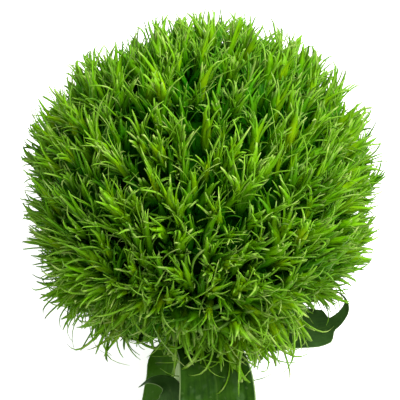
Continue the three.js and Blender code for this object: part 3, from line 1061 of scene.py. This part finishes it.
def leaves() -> list[Leaf]:
    """Lists the leaves, each from its joint along its own midrib.

    The numbers after a leaf's name are its joint, its turn about the stem in degrees, half its width, its
    widest place, its channel and its wave.

    Returns:
        The leaves, from the head down.
    """
    return [
        Leaf(
            LeafName.FRONT, 0, 82.0, 8.6, 0.34, 0.16, 0.25,
            route=((-0.8, -34.2, 38), (2.2, -37, 42.2), (4, -43, 43.6), (4.4, -53, 41.6), (4.6, -68, 36),
                   (4.4, -82, 31), (4.2, -93, 28.6)),
            facing=((0.1, 1, 0.4), (0.05, 0.75, 1), (0, 0.25, 1), (0, -0.05, 1), (0, -0.3, 1), (0, -0.3, 1),
                    (0, -0.1, 1)),
            tint=0.50, base_share=0.4,
        ),
        Leaf(
            LeafName.BACK, 0, -108.0, 6.4, 0.46, 0.15, 0.3,
            route=((-6.2, -37.4, 22.6), (-7.5, -43, 18.6), (-8.2, -52, 14), (-8.8, -64, 9.4), (-9, -77, 5),
                   (-8.6, -90, 1.6)),
            facing=((-0.2, 0.8, 1), (0.35, 0.3, 1), (0.4, 0.1, 1), (0.35, 0.1, 1), (0.2, 0.2, 1),
                    (0, 0.15, 1)),
            tint=1.6,
        ),
        Leaf(
            LeafName.RIGHT_CURL, 0, -12.0, 5.0, 0.42, 0.2, 0.2,
            route=((6.5, -34.6, 28.2), (14, -33.6, 25.6), (21.5, -32.1, 25), (27.4, -32, 25.8),
                   (30, -31.2, 27), (31.9, -29.8, 28.7), (33.3, -27.9, 30.4), (33.7, -26, 32),
                   (32.9, -24.4, 33.4), (29.6, -22.4, 34.6)),
            facing=((0, 0.8, 1), (0, 0.6, 1), (0, 0.3, 1), (-0.1, 0.2, 1), (-0.2, 0.2, 1), (-0.3, 0.2, 1),
                    (-0.5, 0.1, 1), (-0.8, 0, 0.9), (-0.8, -0.3, 0.6), (-0.5, -0.6, 0.5)),
            tint=0.35, bloom=0.60, narrows_at=0.665, narrows_to=0.42,
        ),
        Leaf(
            LeafName.LEFT_LOW, 0, 192.0, 4.5, 0.42, 0.18, 0.3,
            route=((-10.6, -33, 24.8), (-16, -30.6, 18.4), (-20.4, -28, 11), (-24, -25, 4.6),
                   (-27, -21.6, 1.4)),
            facing=((-0.1, 0.8, 1), (-0.6, 0.5, 0.8), (-0.7, 0.4, 0.8), (-0.5, 0.2, 1), (-0.2, 0, 1)),
            tint=0.35,
        ),
        Leaf(
            LeafName.LEFT_HOOK, 1, 150.0, 6.0, 0.46, 0.2, 0.2,
            route=((-9.8, -74.5, 28), (-8.2, -65, 30.6), (-6.6, -55, 32), (-5.6, -48.4, 33.6),
                   (-6.8, -44.4, 34.4), (-10.4, -43.4, 34), (-13.4, -45, 32)),
            facing=((0.2, 0.3, 1), (-0.2, 0.1, 1), (-0.3, 0, 1), (-0.35, 0.1, 1), (-0.3, 0.8, 0.7),
                    (-0.2, 0.9, 0.5), (-0.6, 0.6, 0.45)),
            tint=0.4, bloom=0.65, narrows_at=0.76, narrows_to=0.75,
        ),
        Leaf(
            LeafName.RIGHT_ARCH, 1, -8.0, 7.4, 0.44, 0.22, 0.5,
            route=((5, -75.5, 23.8), (12.5, -67, 26.6), (20, -58, 26.6), (28, -55.8, 22.2),
                   (35, -58.5, 15.4), (40, -64.5, 9.6)),
            facing=((-0.3, 0.4, 1), (-0.1, 0.2, 1), (0.2, 0.3, 1), (0.5, 0.2, 1), (0.7, -0.1, 0.8),
                    (0.6, -0.4, 0.7)),
            tint=0.5,
        ),
        Leaf(
            LeafName.RIGHT_LOWER, 2, 35.0, 7.8, 0.42, 0.2, 0.5,
            route=((6, -127, 18.4), (14, -115.5, 21.6), (23, -104.5, 20.6), (30.5, -98.6, 15.6),
                   (36.5, -97, 9.4), (40.5, -98.5, 4.2)),
            facing=((-0.3, 0.35, 1), (-0.1, 0.2, 1), (0.2, 0.2, 1), (0.5, 0.2, 1), (0.7, 0, 0.8),
                    (0.7, -0.2, 0.7)),
            tint=0.55,
        ),
        Leaf(
            LeafName.LEFT_LOWER, 2, 200.0, 7.6, 0.42, 0.18, 0.4,
            route=((-9.5, -128, 10.4), (-17, -119.5, 9), (-25, -113, 6.6), (-32.5, -109.4, 3.2),
                   (-40, -108.6, 1)),
            facing=((0.2, 0.2, 1), (0, 0.1, 1), (-0.2, 0.1, 1), (-0.2, 0, 1), (0, 0, 1)),
            tint=0.6,
        ),
    ]


# The head


@dataclass
class Crowd:
    """Where each shoot of one layer stands: its root, its length, its directions and its own traits."""

    root: Array
    length: Array
    along: Array
    side: Array
    up: Array
    bend: Array
    tint: Array
    girth: Array
    dryness: Array
    skirt: Array

    def picked(self, which: Array) -> "Crowd":
        """Takes some of the shoots."""
        return Crowd(*(getattr(self, trait.name)[which] for trait in fields(self)))

    def to_places(self, local: Array) -> Array:
        """Bends each shoot's own coordinates and turns them into places.

        A point at the height z along a shoot of length L moves by b (z/L)^2 L, with b the shoot's bend.

        Args:
            local: places across, across and along each shoot; the first axis counts the shoots.

        Returns:
            Places in millimetres, in the same shape.
        """
        extra = (1,) * (local.ndim - 2)
        length = self.length.reshape(-1, *extra)
        arched = np.clip(local[..., 2] / length, 0.0, None) ** 2 * length
        root, side, up, along, bend = (
            a.reshape(-1, *extra, 3) for a in (self.root, self.side, self.up, self.along, self.bend)
        )
        x, y, z = local[..., 0:1], local[..., 1:2], local[..., 2:3]
        return root + x * side + y * up + z * along + arched[..., None] * bend


class Draw(IntEnum):
    """What each row of a pair of bracts' random numbers changes. The waves take the last two rows."""

    START = 0
    LENGTH = 1
    CURL = 2
    TURN = 3
    SWAY = 4
    GIRTH = 5
    TINT = 6
    WAVES = 7


DRAW_ROWS = 9


@dataclass(frozen=True)
class BractForm:
    """One kind of bract: half its width along it, as shares of the widest, and how it leaves the shoot.

    The half width, the root's radius and the keel are in millimetres. The bulge, the drift, the ripple and
    the skirt's curl are in degrees. The rest are shares, and the curl's power.
    """

    places: tuple[float, ...]
    widths: tuple[float, ...]
    half: float
    bristle_from: float
    bulge: float
    bulge_length: float
    curl_power: float
    drift: float
    ripple: float
    root_radius: float
    fold: float
    keel: float
    bristle_keel: float
    thread: float
    skirt_wider: float
    skirt_longer: float
    skirt_curl: float


BLADE = BractForm(
    places=(0.0, 0.12, 0.25, 0.40, 0.53, 0.63, 0.74, 0.87, 1.0),
    widths=(0.50, 0.86, 1.0, 0.98, 0.84, 0.62, 0.42, 0.29, 0.13),
    half=1.0, bristle_from=0.50, bulge=11.0, bulge_length=0.54, curl_power=0.9, drift=20.0, ripple=4.0,
    root_radius=0.40, fold=0.50, keel=0.18, bristle_keel=0.80, thread=0.0,
    skirt_wider=0.25, skirt_longer=0.05, skirt_curl=12.0,
)
AWN = BractForm(
    places=(0.0, 0.14, 0.28, 0.41, 0.53, 0.65, 0.77, 0.89, 1.0),
    widths=(1.0, 1.0, 0.98, 0.94, 0.90, 0.86, 0.80, 0.70, 0.36),
    half=0.30, bristle_from=0.16, bulge=12.0, bulge_length=0.16, curl_power=0.9, drift=35.0, ripple=5.0,
    root_radius=0.66, fold=0.20, keel=0.20, bristle_keel=0.85, thread=0.75,
    skirt_wider=0.0, skirt_longer=0.6, skirt_curl=52.0,
)


@dataclass(frozen=True)
class BractPair:
    """One pair of bracts of a shoot: their form, their start, their length and how far they curl out."""

    form: BractForm
    start: float
    length: float
    curl: float
    curl_varies: float
    turn: float


@dataclass(frozen=True)
class Layer:
    """One layer of shoots: how many, how long, how thick, their pairs of bracts, and the pieces made."""

    name: str
    count: int
    reach: float
    reach_varies: float
    length: float
    length_varies: float
    lean: float
    bend: float
    width: float
    body_radius: float
    pairs: tuple[BractPair, ...]
    pieces: int
    seed: int
    # the layer's share of the painted light: below 1 paints the whole layer darker, as shade
    shade: float


@dataclass(frozen=True)
class Lobe:
    """A place where the ball stands out, or falls back if the rise is below 0: a bell about a direction."""

    way: Triple
    rise: float
    spread: float


LOBES = (
    Lobe((0.92, 0.36, 0.10), 2.1, 24.0),
    Lobe((-1.0, 0.0, 0.0), -2.2, 14.0),
    Lobe((0.90, -0.42, 0.0), 0.9, 18.0),
    Lobe((-0.42, 0.90, 0.0), -2.3, 26.0),
    Lobe((-0.86, 0.50, 0.0), 0.8, 16.0),
    Lobe((-0.80, -0.58, 0.0), 0.6, 30.0),
    Lobe((-0.27, -0.92, 0.28), -7.0, 15.0),
    Lobe((0.16, -0.95, 0.15), 4.0, 18.0),
    Lobe((0.42, -0.85, 0.15), 1.5, 14.0),
    Lobe((-0.72, 0.02, 0.68), -2.8, 15.0),
    Lobe((-0.08, -0.44, 0.90), -1.6, 15.0),
    Lobe((-0.50, -0.72, 0.48), 1.2, 13.0),
    Lobe((-0.56, -0.83, 0.0), 2.6, 13.0),
)


@dataclass
class Head:
    """The ball of shoots. Each shoot is a closed bud of crossed pairs of bracts that end in curling bristles.

    Its skirt is the side towards the stem, where the shoots droop and are stouter, yellower and fewer, and
    their bracts are longer. Lengths are in millimetres and turn_differs is in degrees. The rest are shares,
    powers, counts and factors.
    """

    layout: Layout
    lobes: tuple[Lobe, ...] = LOBES
    rim: float = 39.1
    rim_room: float = 2.4
    skirt_room: float = 7.0
    skirt_drop: float = 2.5
    body_stations: int = 5
    body_sides: int = 6
    body_top: float = 0.70
    body_arc: Range = (0.10, 0.96)
    body_power: float = 0.7
    body_along: float = 0.3
    core_rings: int = 40
    core_sides: int = 56
    core_pole: float = 0.02
    core_inset: float = 0.6
    core_lump: float = 0.02
    core_lumps: Range = (9.0, 7.0)
    settle_top: float = 7.0
    settle_deepest: float = 2.0
    settle_room: float = 6.96
    settle_spread: float = 0.035
    clearance: float = 1.7
    clear_rounds: int = 5
    clear_push: float = 1.4
    clear_allowed: float = 0.6
    probes_from: float = 0.25
    probes: int = 7
    # the bracts' painted shade is full within the first distance from the centre and gone beyond the second
    out_low: float = 28.6
    painted_shade_gone_beyond: float = 38.6
    spread_depth: float = 30.0
    spread_fall: float = 0.8
    spread_falls: Range = (0.20, 0.85)
    skirt_from: float = 0.30
    skirt_to: float = 0.95
    skirt_droop: float = 0.22
    skirt_stouter: float = 0.30
    skirt_thinner: float = 0.42
    skirt_yellower: float = 0.45
    stray: float = 0.28
    short_power: float = 1.5
    length_limit: float = 2.0
    tint_least: float = 0.08
    tint_varies: float = 0.72
    girth_varies: float = 0.24
    girth_range: Range = (0.65, 1.6)
    dry_power: float = 300.0
    draw_limit: float = 2.2
    start_differs: float = 0.03
    length_differs: float = 0.13
    turn_differs: float = 16.0
    girth_differs: float = 0.10
    tint_differs: float = 0.12
    wave_turns: float = 7.5
    wave_shift: float = 2.0
    hug_before: float = 0.1
    hug_after: float = 0.2

    def settle(self, places: Array) -> Array:
        """Presses what is near the surface together and moves it outwards, so nothing goes below it.

        A point d below the height where the pressing starts is raised by k d^2, with k such that the lowest
        comes to lie just on the surface. Its distance from the upright line through the head's centre grows
        by a share for each millimetre that it was raised.

        Args:
            places: points in millimetres.

        Returns:
            The settled points.
        """
        centre = self.layout.centre
        reach = self.settle_top - (centre[2] - self.layout.head_radius - self.settle_deepest)
        below = np.clip(self.settle_top - places[..., 2], 0.0, reach)
        lost = (reach - self.settle_room) / reach**2 * below**2
        grown = 1.0 + self.settle_spread * lost
        settled = places.copy()
        settled[..., 0] = centre[0] + (places[..., 0] - centre[0]) * grown
        settled[..., 1] = centre[1] + (places[..., 1] - centre[1]) * grown
        settled[..., 2] = np.maximum(places[..., 2] + lost, 0.0)
        return settled

    def swelling(self, ways: Array) -> Array:
        """Sums the lobes' bells, each rise exp(-(angle/spread)^2).

        Args:
            ways: unit vectors from the head's centre.

        Returns:
            How far the ball stands out in each way, in millimetres.
        """
        total = np.zeros(ways.shape[:-1])
        for lobe in self.lobes:
            angle = np.degrees(np.arccos(np.clip(ways @ unit(np.array(lobe.way)), -1.0, 1.0)))
            total += lobe.rise * np.exp(-((angle / lobe.spread) ** 2))
        return total

    def skirt_share(self, ways: Array) -> Array:
        """Rises from 0 to 1 towards the stem's side of the head."""
        return smooth_step(-(ways @ self.layout.axis), self.skirt_from, self.skirt_to)

    def held_in(self, places: Array) -> Array:
        """Draws in what stands out of the ball: beyond the rim r, a distance d becomes r + k tanh((d - r)/k).

        Args:
            places: points in millimetres.

        Returns:
            The points, none farther out than the rim and its room k, which is wider towards the stem.
        """
        steps = places - self.layout.centre
        away = np.linalg.norm(steps, axis=-1)
        ways = steps / np.maximum(away, 1e-9)[..., None]
        skirt = self.skirt_share(ways)
        rim = self.rim + self.swelling(ways) - self.skirt_drop * skirt
        room = self.rim_room + self.skirt_room * skirt
        held = np.where(away > rim, rim + room * np.tanh((away - rim) / room), away)
        return self.layout.centre + ways * held[..., None]

    def crowd(self, layer: Layer, obstacles: Array) -> Crowd:
        """Spreads a layer's shoots evenly over the ball, by the golden angle, and clears them of the leaves.

        A shoot points away from a place on the head's axis below its centre, with a random lean. Towards
        the stem that place comes nearer to the centre, the shoots droop, and a share of them is left out.

        Args:
            layer: the layer.
            obstacles: points on the leaves and the stem.

        Returns:
            The shoots that stand clear.
        """
        rng = np.random.default_rng(layer.seed)
        n = layer.count
        index = np.arange(n)
        height = 1.0 - (2.0 * index + 1.0) / n
        ring = np.sqrt(1.0 - height**2)
        turn = index * math.pi * GOLDEN_SHARE + layer.seed
        even = np.stack([ring * np.cos(turn), height, ring * np.sin(turn)], axis=1)
        spacing = math.sqrt(4.0 * math.pi / n)
        way = unit(even + rng.normal(0.0, self.stray * spacing, (n, 3)))
        axis = self.layout.axis
        skirt = self.skirt_share(way)
        shorter = 1.0 - layer.reach_varies * rng.random(n) ** self.short_power
        reach = layer.reach * shorter + self.swelling(way)
        tip = self.layout.centre + way * reach[:, None]
        fall = self.spread_fall * smooth_step(-(way @ axis), *self.spread_falls)
        depth = self.spread_depth * (1.0 - fall)
        along = unit(tip - self.layout.centre + axis * depth[:, None])
        along = unit(along + rng.normal(0.0, layer.lean, (n, 3)))
        longer = rng.normal(0.0, 1.0, n).clip(-self.length_limit, self.length_limit)
        length = layer.length * (1.0 + layer.length_varies * longer)
        side = unit(np.cross(along, rng.normal(0.0, 1.0, (n, 3))))
        droop = -axis - along * (-(along @ axis))[:, None]
        crowd = Crowd(
            root=tip - along * length[:, None],
            length=length,
            along=along,
            side=side,
            up=np.cross(along, side),
            bend=rng.normal(0.0, layer.bend, (n, 3)) + droop * (self.skirt_droop * skirt)[:, None],
            tint=np.clip(
                self.tint_least + rng.random(n) * self.tint_varies + self.skirt_yellower * skirt, 0.0, 1.0
            ),
            girth=(1.0 + self.girth_varies * rng.normal(0.0, 1.0, n)).clip(*self.girth_range)
            * (1.0 + self.skirt_stouter * skirt),
            dryness=rng.random(n) ** self.dry_power,
            skirt=skirt,
        )
        return self.cleared(crowd.picked(rng.random(n) > self.skirt_thinner * skirt), obstacles)

    def cleared(self, crowd: Crowd, obstacles: Array) -> Crowd:
        """Turns shoots away from what they would touch, and drops those that still touch it.

        Args:
            crowd: the shoots.
            obstacles: points to keep clear of.

        Returns:
            The shoots that stand clear.
        """
        probes = np.linspace(self.probes_from, 1.0, self.probes)
        rows = np.arange(len(crowd.length))
        for _ in range(self.clear_rounds):
            run = crowd.length[:, None] * probes
            points = crowd.root[:, None] + crowd.along[:, None] * run[..., None]
            points = points + crowd.bend[:, None] * (run * probes)[..., None]
            gaps = points[:, :, None] - obstacles[None, None]
            far = np.linalg.norm(gaps, axis=-1)
            nearest = far.argmin(axis=-1)
            least = np.take_along_axis(far, nearest[..., None], axis=-1)[..., 0]
            push = np.take_along_axis(gaps, nearest[..., None, None], axis=2)[:, :, 0]
            short = np.clip(self.clearance - least, 0.0, None)
            worst = short.argmax(axis=1)
            shift = unit(push[rows, worst]) * (short[rows, worst] * self.clear_push)[:, None]
            crowd.along = unit(crowd.along * crowd.length[:, None] + shift)
            overlap = (crowd.side * crowd.along).sum(axis=1, keepdims=True)
            crowd.side = unit(crowd.side - crowd.along * overlap)
            crowd.up = np.cross(crowd.along, crowd.side)
        return crowd.picked(short.max(axis=1) < self.clear_allowed)

    def middle_lines(self, crowd: Crowd, pair: BractPair, draws: Array, root: Array) -> tuple[Array, ...]:
        """Bends the middle lines of one pair of bracts of all the shoots.

        A bract leaves its shoot at the angle g cos(pi t/b), so that it swells out and closes in again, and
        from the share f of its length it curls out by c ((t - f)/(1 - f))^p, where c is its curl, and
        sideways in the same way, with a slight wave. Its middle line is the running sum of those
        directions.

        Args:
            crowd: the shoots.
            pair: the pair of bracts.
            draws: the random numbers of each bract, in the rows that Draw names.
            root: how far each bract starts from its shoot's own line.

        Returns:
            Places out from the shoot, along it and aside at each station, and the lean outwards there.
        """
        form = pair.form
        skirt = crowd.skirt[:, None]
        start = crowd.length[:, None] * (pair.start + self.start_differs * draws[Draw.START])
        length = crowd.length[:, None] * pair.length * (1.0 + self.length_differs * draws[Draw.LENGTH])
        length = length * (1.0 + form.skirt_longer * skirt)
        curl = np.radians(pair.curl + pair.curl_varies * draws[Draw.CURL] + form.skirt_curl * skirt)
        t = np.array(form.places)
        mid = 0.5 * (t[1:] + t[:-1])
        opened = np.clip((mid - form.bristle_from) / (1.0 - form.bristle_from), 0.0, 1.0) ** form.curl_power
        hugging = math.radians(form.bulge) * np.cos(math.pi * mid / form.bulge_length)
        angle = self.wave_turns * mid + self.wave_shift * draws[Draw.WAVES :, ..., None]
        wave = math.radians(form.ripple) * np.sin(angle) * np.sqrt(opened)
        lean = np.where(mid < form.bulge_length, hugging, 0.0) + curl[..., None] * opened + wave[0]
        sway = (np.radians(form.drift) * draws[Draw.SWAY])[..., None] * opened + wave[1]
        step = length[..., None] * np.diff(t)
        forward = np.cos(sway) * step
        radial = root[..., None] + running(np.sin(lean) * forward)
        axial = start[..., None] + running(np.cos(lean) * forward)
        aside = running(np.sin(sway) * step)
        return radial, axial, aside, np.concatenate([lean[..., :1], lean], axis=-1)

    def bracts(self, crowd: Crowd, layer: Layer, pair: BractPair, rng: np.random.Generator) -> Surface:
        """Builds one pair of bracts of all the shoots at once, on their middle lines.

        The section has three corners: two margins folded back round the shoot, and a keel outside.

        Args:
            crowd: the shoots.
            layer: the layer that they are in.
            pair: the pair of bracts.
            rng: where the shoots' own differences come from.

        Returns:
            The closed surfaces of the bracts.
        """
        form = pair.form
        n = len(crowd.length)
        draws = rng.normal(0.0, 1.0, (DRAW_ROWS, n, 2)).clip(-self.draw_limit, self.draw_limit)
        girth = crowd.girth[:, None] * (1.0 + self.girth_differs * draws[Draw.GIRTH])
        turn = np.radians(pair.turn + np.array([0.0, 180.0]) + self.turn_differs * draws[Draw.TURN])
        radial, axial, aside, tilt = self.middle_lines(crowd, pair, draws, form.root_radius * girth)
        t = np.array(form.places)
        hug = 1.0 - smooth_step(t, form.bristle_from - self.hug_before, form.bristle_from + self.hug_after)
        widest = form.half * layer.width * girth * (1.0 + form.skirt_wider * crowd.skirt[:, None])
        half = widest[..., None] * np.array(form.widths)
        fold = half * (form.fold * hug)
        keel = form.keel * hug + form.bristle_keel * half * (1.0 - hug)
        across = np.stack([np.zeros_like(half), half, -half], axis=-1)
        outward = np.stack([keel, -fold, -fold], axis=-1)
        cosine, sine = np.cos(turn)[..., None, None], np.sin(turn)[..., None, None]
        r = radial[..., None] + outward * np.cos(tilt)[..., None]
        z = axial[..., None] - outward * np.sin(tilt)[..., None]
        s = aside[..., None] + across
        local = np.stack([r * cosine - s * sine, r * sine + s * cosine, z], axis=-1)
        places = self.settle(self.held_in(crowd.to_places(local)))
        u = np.broadcast_to(np.array([0.5, 1.0, 0.0]), places.shape[:-1])
        v = np.broadcast_to((form.thread + (1.0 - form.thread) * t)[:, None], places.shape[:-1])
        tint = crowd.tint[:, None] + self.tint_differs * draws[Draw.TINT]
        marks = self.marks(places, tint[..., None, None], crowd.dryness[:, None, None, None], layer.shade)
        faces = tube_faces(len(t), 3, n * 2)
        return Surface(places.reshape(-1, 3), *faces, np.stack([u, v], axis=-1).reshape(-1, 2), marks)

    def bodies(self, crowd: Crowd, layer: Layer) -> Surface:
        """Builds the slim closed middle of each shoot, a round section whose radius is b sin(a)^p.

        The angle a runs over the body's arc, in half turns, from the bottom to the top, and p is the body's
        power.

        Args:
            crowd: the shoots.
            layer: the layer that they are in.

        Returns:
            The closed surfaces of all the middles.
        """
        n = len(crowd.length)
        share = np.linspace(0.0, 1.0, self.body_stations)
        low, high = self.body_arc
        swell = np.sin(math.pi * (low + (high - low) * share)) ** self.body_power
        turn = np.arange(self.body_sides) / self.body_sides * FULL_TURN
        reach = (layer.body_radius * crowd.girth)[:, None, None] * swell[None, :, None]
        height = (crowd.length[:, None] * share * self.body_top)[:, :, None]
        x, y, z = np.broadcast_arrays(reach * np.cos(turn), reach * np.sin(turn), height)
        places = self.settle(self.held_in(crowd.to_places(np.stack([x, y, z], axis=-1))))
        u = np.broadcast_to(turn / FULL_TURN, places.shape[:-1])
        v = np.broadcast_to((share * self.body_along)[:, None], places.shape[:-1])
        marks = self.marks(places, crowd.tint[:, None, None], crowd.dryness[:, None, None], layer.shade)
        faces = tube_faces(self.body_stations, self.body_sides, n)
        return Surface(places.reshape(-1, 3), *faces, np.stack([u, v], axis=-1).reshape(-1, 2), marks)

    def marks(self, places: Array, tint: Array, dryness: Array, shade: float) -> Array:
        """Gives each corner its shoot's tint, how far out of the head it lies, which sets the painted
        shade, and how dry the shoot is.

        Args:
            places: the corners.
            tint: their shoots' tints.
            dryness: how dry their shoots are.
            shade: the layer's share of the painted light; below 1 the whole layer is painted darker, as shade.

        Returns:
            Three marks for each corner.
        """
        away = np.linalg.norm(places - self.layout.centre, axis=-1)
        # out: how far out of the head, times the layer's share; it sets the painted shade on the bracts
        out = np.clip((away - self.out_low) / (self.painted_shade_gone_beyond - self.out_low), 0.0, 1.0) * shade
        return np.stack(np.broadcast_arrays(tint, out, dryness), axis=-1).reshape(-1, 3)

    def core(self) -> Surface:
        """Builds the packed middle in painted shade: a sphere of rings about the head's axis, slightly lumpy.

        Its radius is r (1 + e sin(n a) sin(m b)) at the angle b from the axis and the turn a, with lumps of
        the share e, n round it and m over it. Where the ball falls back in a hollow, so does the middle.

        Returns:
            The closed surface.
        """
        plan = self.layout
        round_it, over_it = self.core_lumps
        polar = np.linspace(self.core_pole, math.pi - self.core_pole, self.core_rings)[:, None]
        turn = np.arange(self.core_sides)[None, :] / self.core_sides * FULL_TURN
        lumps = self.core_lump * np.sin(round_it * turn) * np.sin(over_it * polar)
        radius = (plan.core_radius - self.core_inset) * (1.0 + lumps)
        side = unit(np.cross(plan.axis, [0.0, 0.0, 1.0]))
        up = np.cross(plan.axis, side)
        outward = (
            -np.cos(polar)[..., None] * plan.axis
            + (np.sin(polar) * np.cos(turn))[..., None] * side
            + (np.sin(polar) * np.sin(turn))[..., None] * up
        )
        radius = radius + np.minimum(self.swelling(outward), 0.0)
        places = self.settle(plan.centre + outward * radius[..., None])
        uv = np.zeros(places.shape[:-1] + (2,))
        marks = np.zeros(places.shape)
        faces = tube_faces(self.core_rings, self.core_sides)
        return Surface(places.reshape(-1, 3), *faces, uv.reshape(-1, 2), marks.reshape(-1, 3))

    def build(self, layers: list[Layer], obstacles: Array) -> None:
        """Makes the core and each layer, a layer in bands from the stem to the crown, to stand for the solid.

        Args:
            layers: the layers of shoots.
            obstacles: points on the leaves and the stem.
        """
        bract = BractFinish("bracts").material()
        dress(make_piece("head_core", self.core(), CorePaintedShadeFinish().material()), "bracts", "head")
        for layer in layers:
            crowd = self.crowd(layer, obstacles)
            order = np.argsort((crowd.root - self.layout.centre) @ self.layout.axis)
            for number, band in enumerate(np.array_split(order, layer.pieces), 1):
                rng = np.random.default_rng(layer.seed + number)
                part = crowd.picked(band)
                surface = self.bodies(part, layer)
                for pair in layer.pairs:
                    surface = surface.joined(self.bracts(part, layer, pair, rng))
                dress(make_piece(f"{layer.name}_{number}", surface, bract), "bracts", "head")


def layers() -> list[Layer]:
    """Lists the head's layers: the long outer shoots and the short ones between them.

    The numbers of a pair are where it starts and how long it is, as shares of its shoot's length, how far
    it curls out, how much that varies, and its turn about the shoot, in degrees.

    Returns:
        The layers.
    """
    outer = (
        BractPair(AWN, 0.20, 0.56, 62.0, 28.0, 45.0),
        BractPair(AWN, 0.40, 0.72, 35.0, 26.0, 100.0),
        BractPair(BLADE, 0.03, 0.82, 34.0, 16.0, 90.0),
        BractPair(BLADE, 0.15, 0.84, 18.0, 11.0, 0.0),
        BractPair(BLADE, 0.32, 0.54, 9.0, 7.0, 60.0),
    )
    inner = (
        BractPair(AWN, 0.24, 0.60, 56.0, 30.0, 45.0),
        BractPair(BLADE, 0.06, 0.80, 28.0, 14.0, 0.0),
        BractPair(BLADE, 0.20, 0.80, 13.0, 10.0, 90.0),
    )
    return [
        Layer(
            "shoots_outer", count=790, reach=40.2, reach_varies=0.06, length=14.4, length_varies=0.09,
            lean=0.14, bend=0.12, width=1.0, body_radius=0.72, pairs=outer, pieces=6, seed=11, shade=1.0,
        ),
        Layer(
            "shoots_inner", count=1000, reach=38.2, reach_varies=0.10, length=11.4, length_varies=0.10,
            lean=0.16, bend=0.12, width=0.95, body_radius=0.50, pairs=inner, pieces=4, seed=47, shade=0.6,
        ),
    ]


# The studio


@dataclass(frozen=True)
class Lamp:
    """One soft square light: where it hangs from the head's centre and its side, in metres, and its watts."""

    name: str
    place: Triple
    size: float
    power: float


@dataclass(frozen=True)
class Studio:
    """The surface, the light and the camera, which looks down on the lying flower as the photo looks at it.

    The picture's side and the head's place in it are in pixels. A pixel, the sensor and the camera's
    distance are in millimetres. The surface and the camera's nearest and farthest reach are in metres.
    """

    layout: Layout
    surface_half: float = 2.5
    sky_strength: float = 0.56
    lamps: tuple[Lamp, ...] = (
        Lamp("key", (0.38, 0.53, 0.58), 0.60, 17.3),
        Lamp("fill", (0.10, -0.55, 0.70), 0.8, 3.5),
    )
    picture: float = 400.0
    pixel: float = 0.2247
    head_column: float = 198.0
    head_row: float = 188.0
    distance: float = 700.0
    sensor: float = 36.0
    nearest: float = 0.01
    farthest: float = 20.0

    def floor(self) -> None:
        """Lays the surface."""
        half = self.surface_half
        mesh = bpy.data.meshes.new("surface")
        corners = [(-half, -half, 0.0), (half, -half, 0.0), (half, half, 0.0), (-half, half, 0.0)]
        mesh.from_pydata(corners, [], [(0, 1, 2, 3)])
        mesh.materials.append(FloorFinish().material())
        plane = bpy.data.objects.new("surface", mesh)
        bpy.context.scene.collection.objects.link(plane)

    def light(self, lamp: Lamp) -> None:
        """Hangs one light and turns it to the head.

        Args:
            lamp: the light.
        """
        data = bpy.data.lights.new(lamp.name, "AREA")
        data.size = lamp.size
        data.energy = lamp.power
        held = bpy.data.objects.new(lamp.name, data)
        held.location = tuple(self.layout.centre * MM + np.array(lamp.place))
        held.rotation_mode = "QUATERNION"
        held.rotation_quaternion = (-Vector(lamp.place)).to_track_quat("-Z", "Y")
        bpy.context.scene.collection.objects.link(held)

    def sky(self) -> None:
        """Fills the world with even white light."""
        world = bpy.data.worlds.new("studio")
        world.use_nodes = True
        back = world.node_tree.nodes["Background"]
        back.inputs["Color"].default_value = (1.0, 1.0, 1.0, 1.0)
        back.inputs["Strength"].default_value = self.sky_strength
        bpy.context.scene.world = world

    def camera(self) -> None:
        """Hangs the camera straight over the head, so that the head falls where the photo shows it."""
        middle = self.picture / 2.0
        right = (middle - self.head_column) * self.pixel
        towards_crown = (self.head_row - middle) * self.pixel
        centre = self.layout.centre
        lens = bpy.data.cameras.new("camera")
        lens.sensor_width = self.sensor
        lens.lens = self.sensor * self.distance / (self.picture * self.pixel)
        lens.clip_start = self.nearest
        lens.clip_end = self.farthest
        held = bpy.data.objects.new("camera", lens)
        held.location = (
            (centre[0] + right) * MM,
            (centre[1] + towards_crown) * MM,
            (centre[2] + self.distance) * MM,
        )
        bpy.context.scene.collection.objects.link(held)
        bpy.context.scene.camera = held

    def build(self) -> None:
        """Sets up the whole studio."""
        self.floor()
        self.sky()
        for lamp in self.lamps:
            self.light(lamp)
        self.camera()
        bpy.context.scene.view_settings.view_transform = "Standard"
        LOG.info("studio: surface, %d lights, sky and camera", len(self.lamps))


def main() -> None:
    """Builds the flower and its studio, piece by piece."""
    logging.basicConfig(level=logging.INFO, format="%(name)s: %(message)s")
    layout = Layout()
    Studio(layout).build()
    stem = Stem(layout)
    stem.build(StemFinish().material())
    blade = LeafFinish().material()
    foliage = leaves()
    for leaf in foliage:
        leaf.build(stem, blade)
    near_head = [leaf.obstacle(stem) for leaf in foliage[:LEAVES_NEAR_HEAD]]
    Head(layout).build(layers(), np.vstack([stem.obstacle(), *near_head]))


if __name__ == "__main__":
    main()
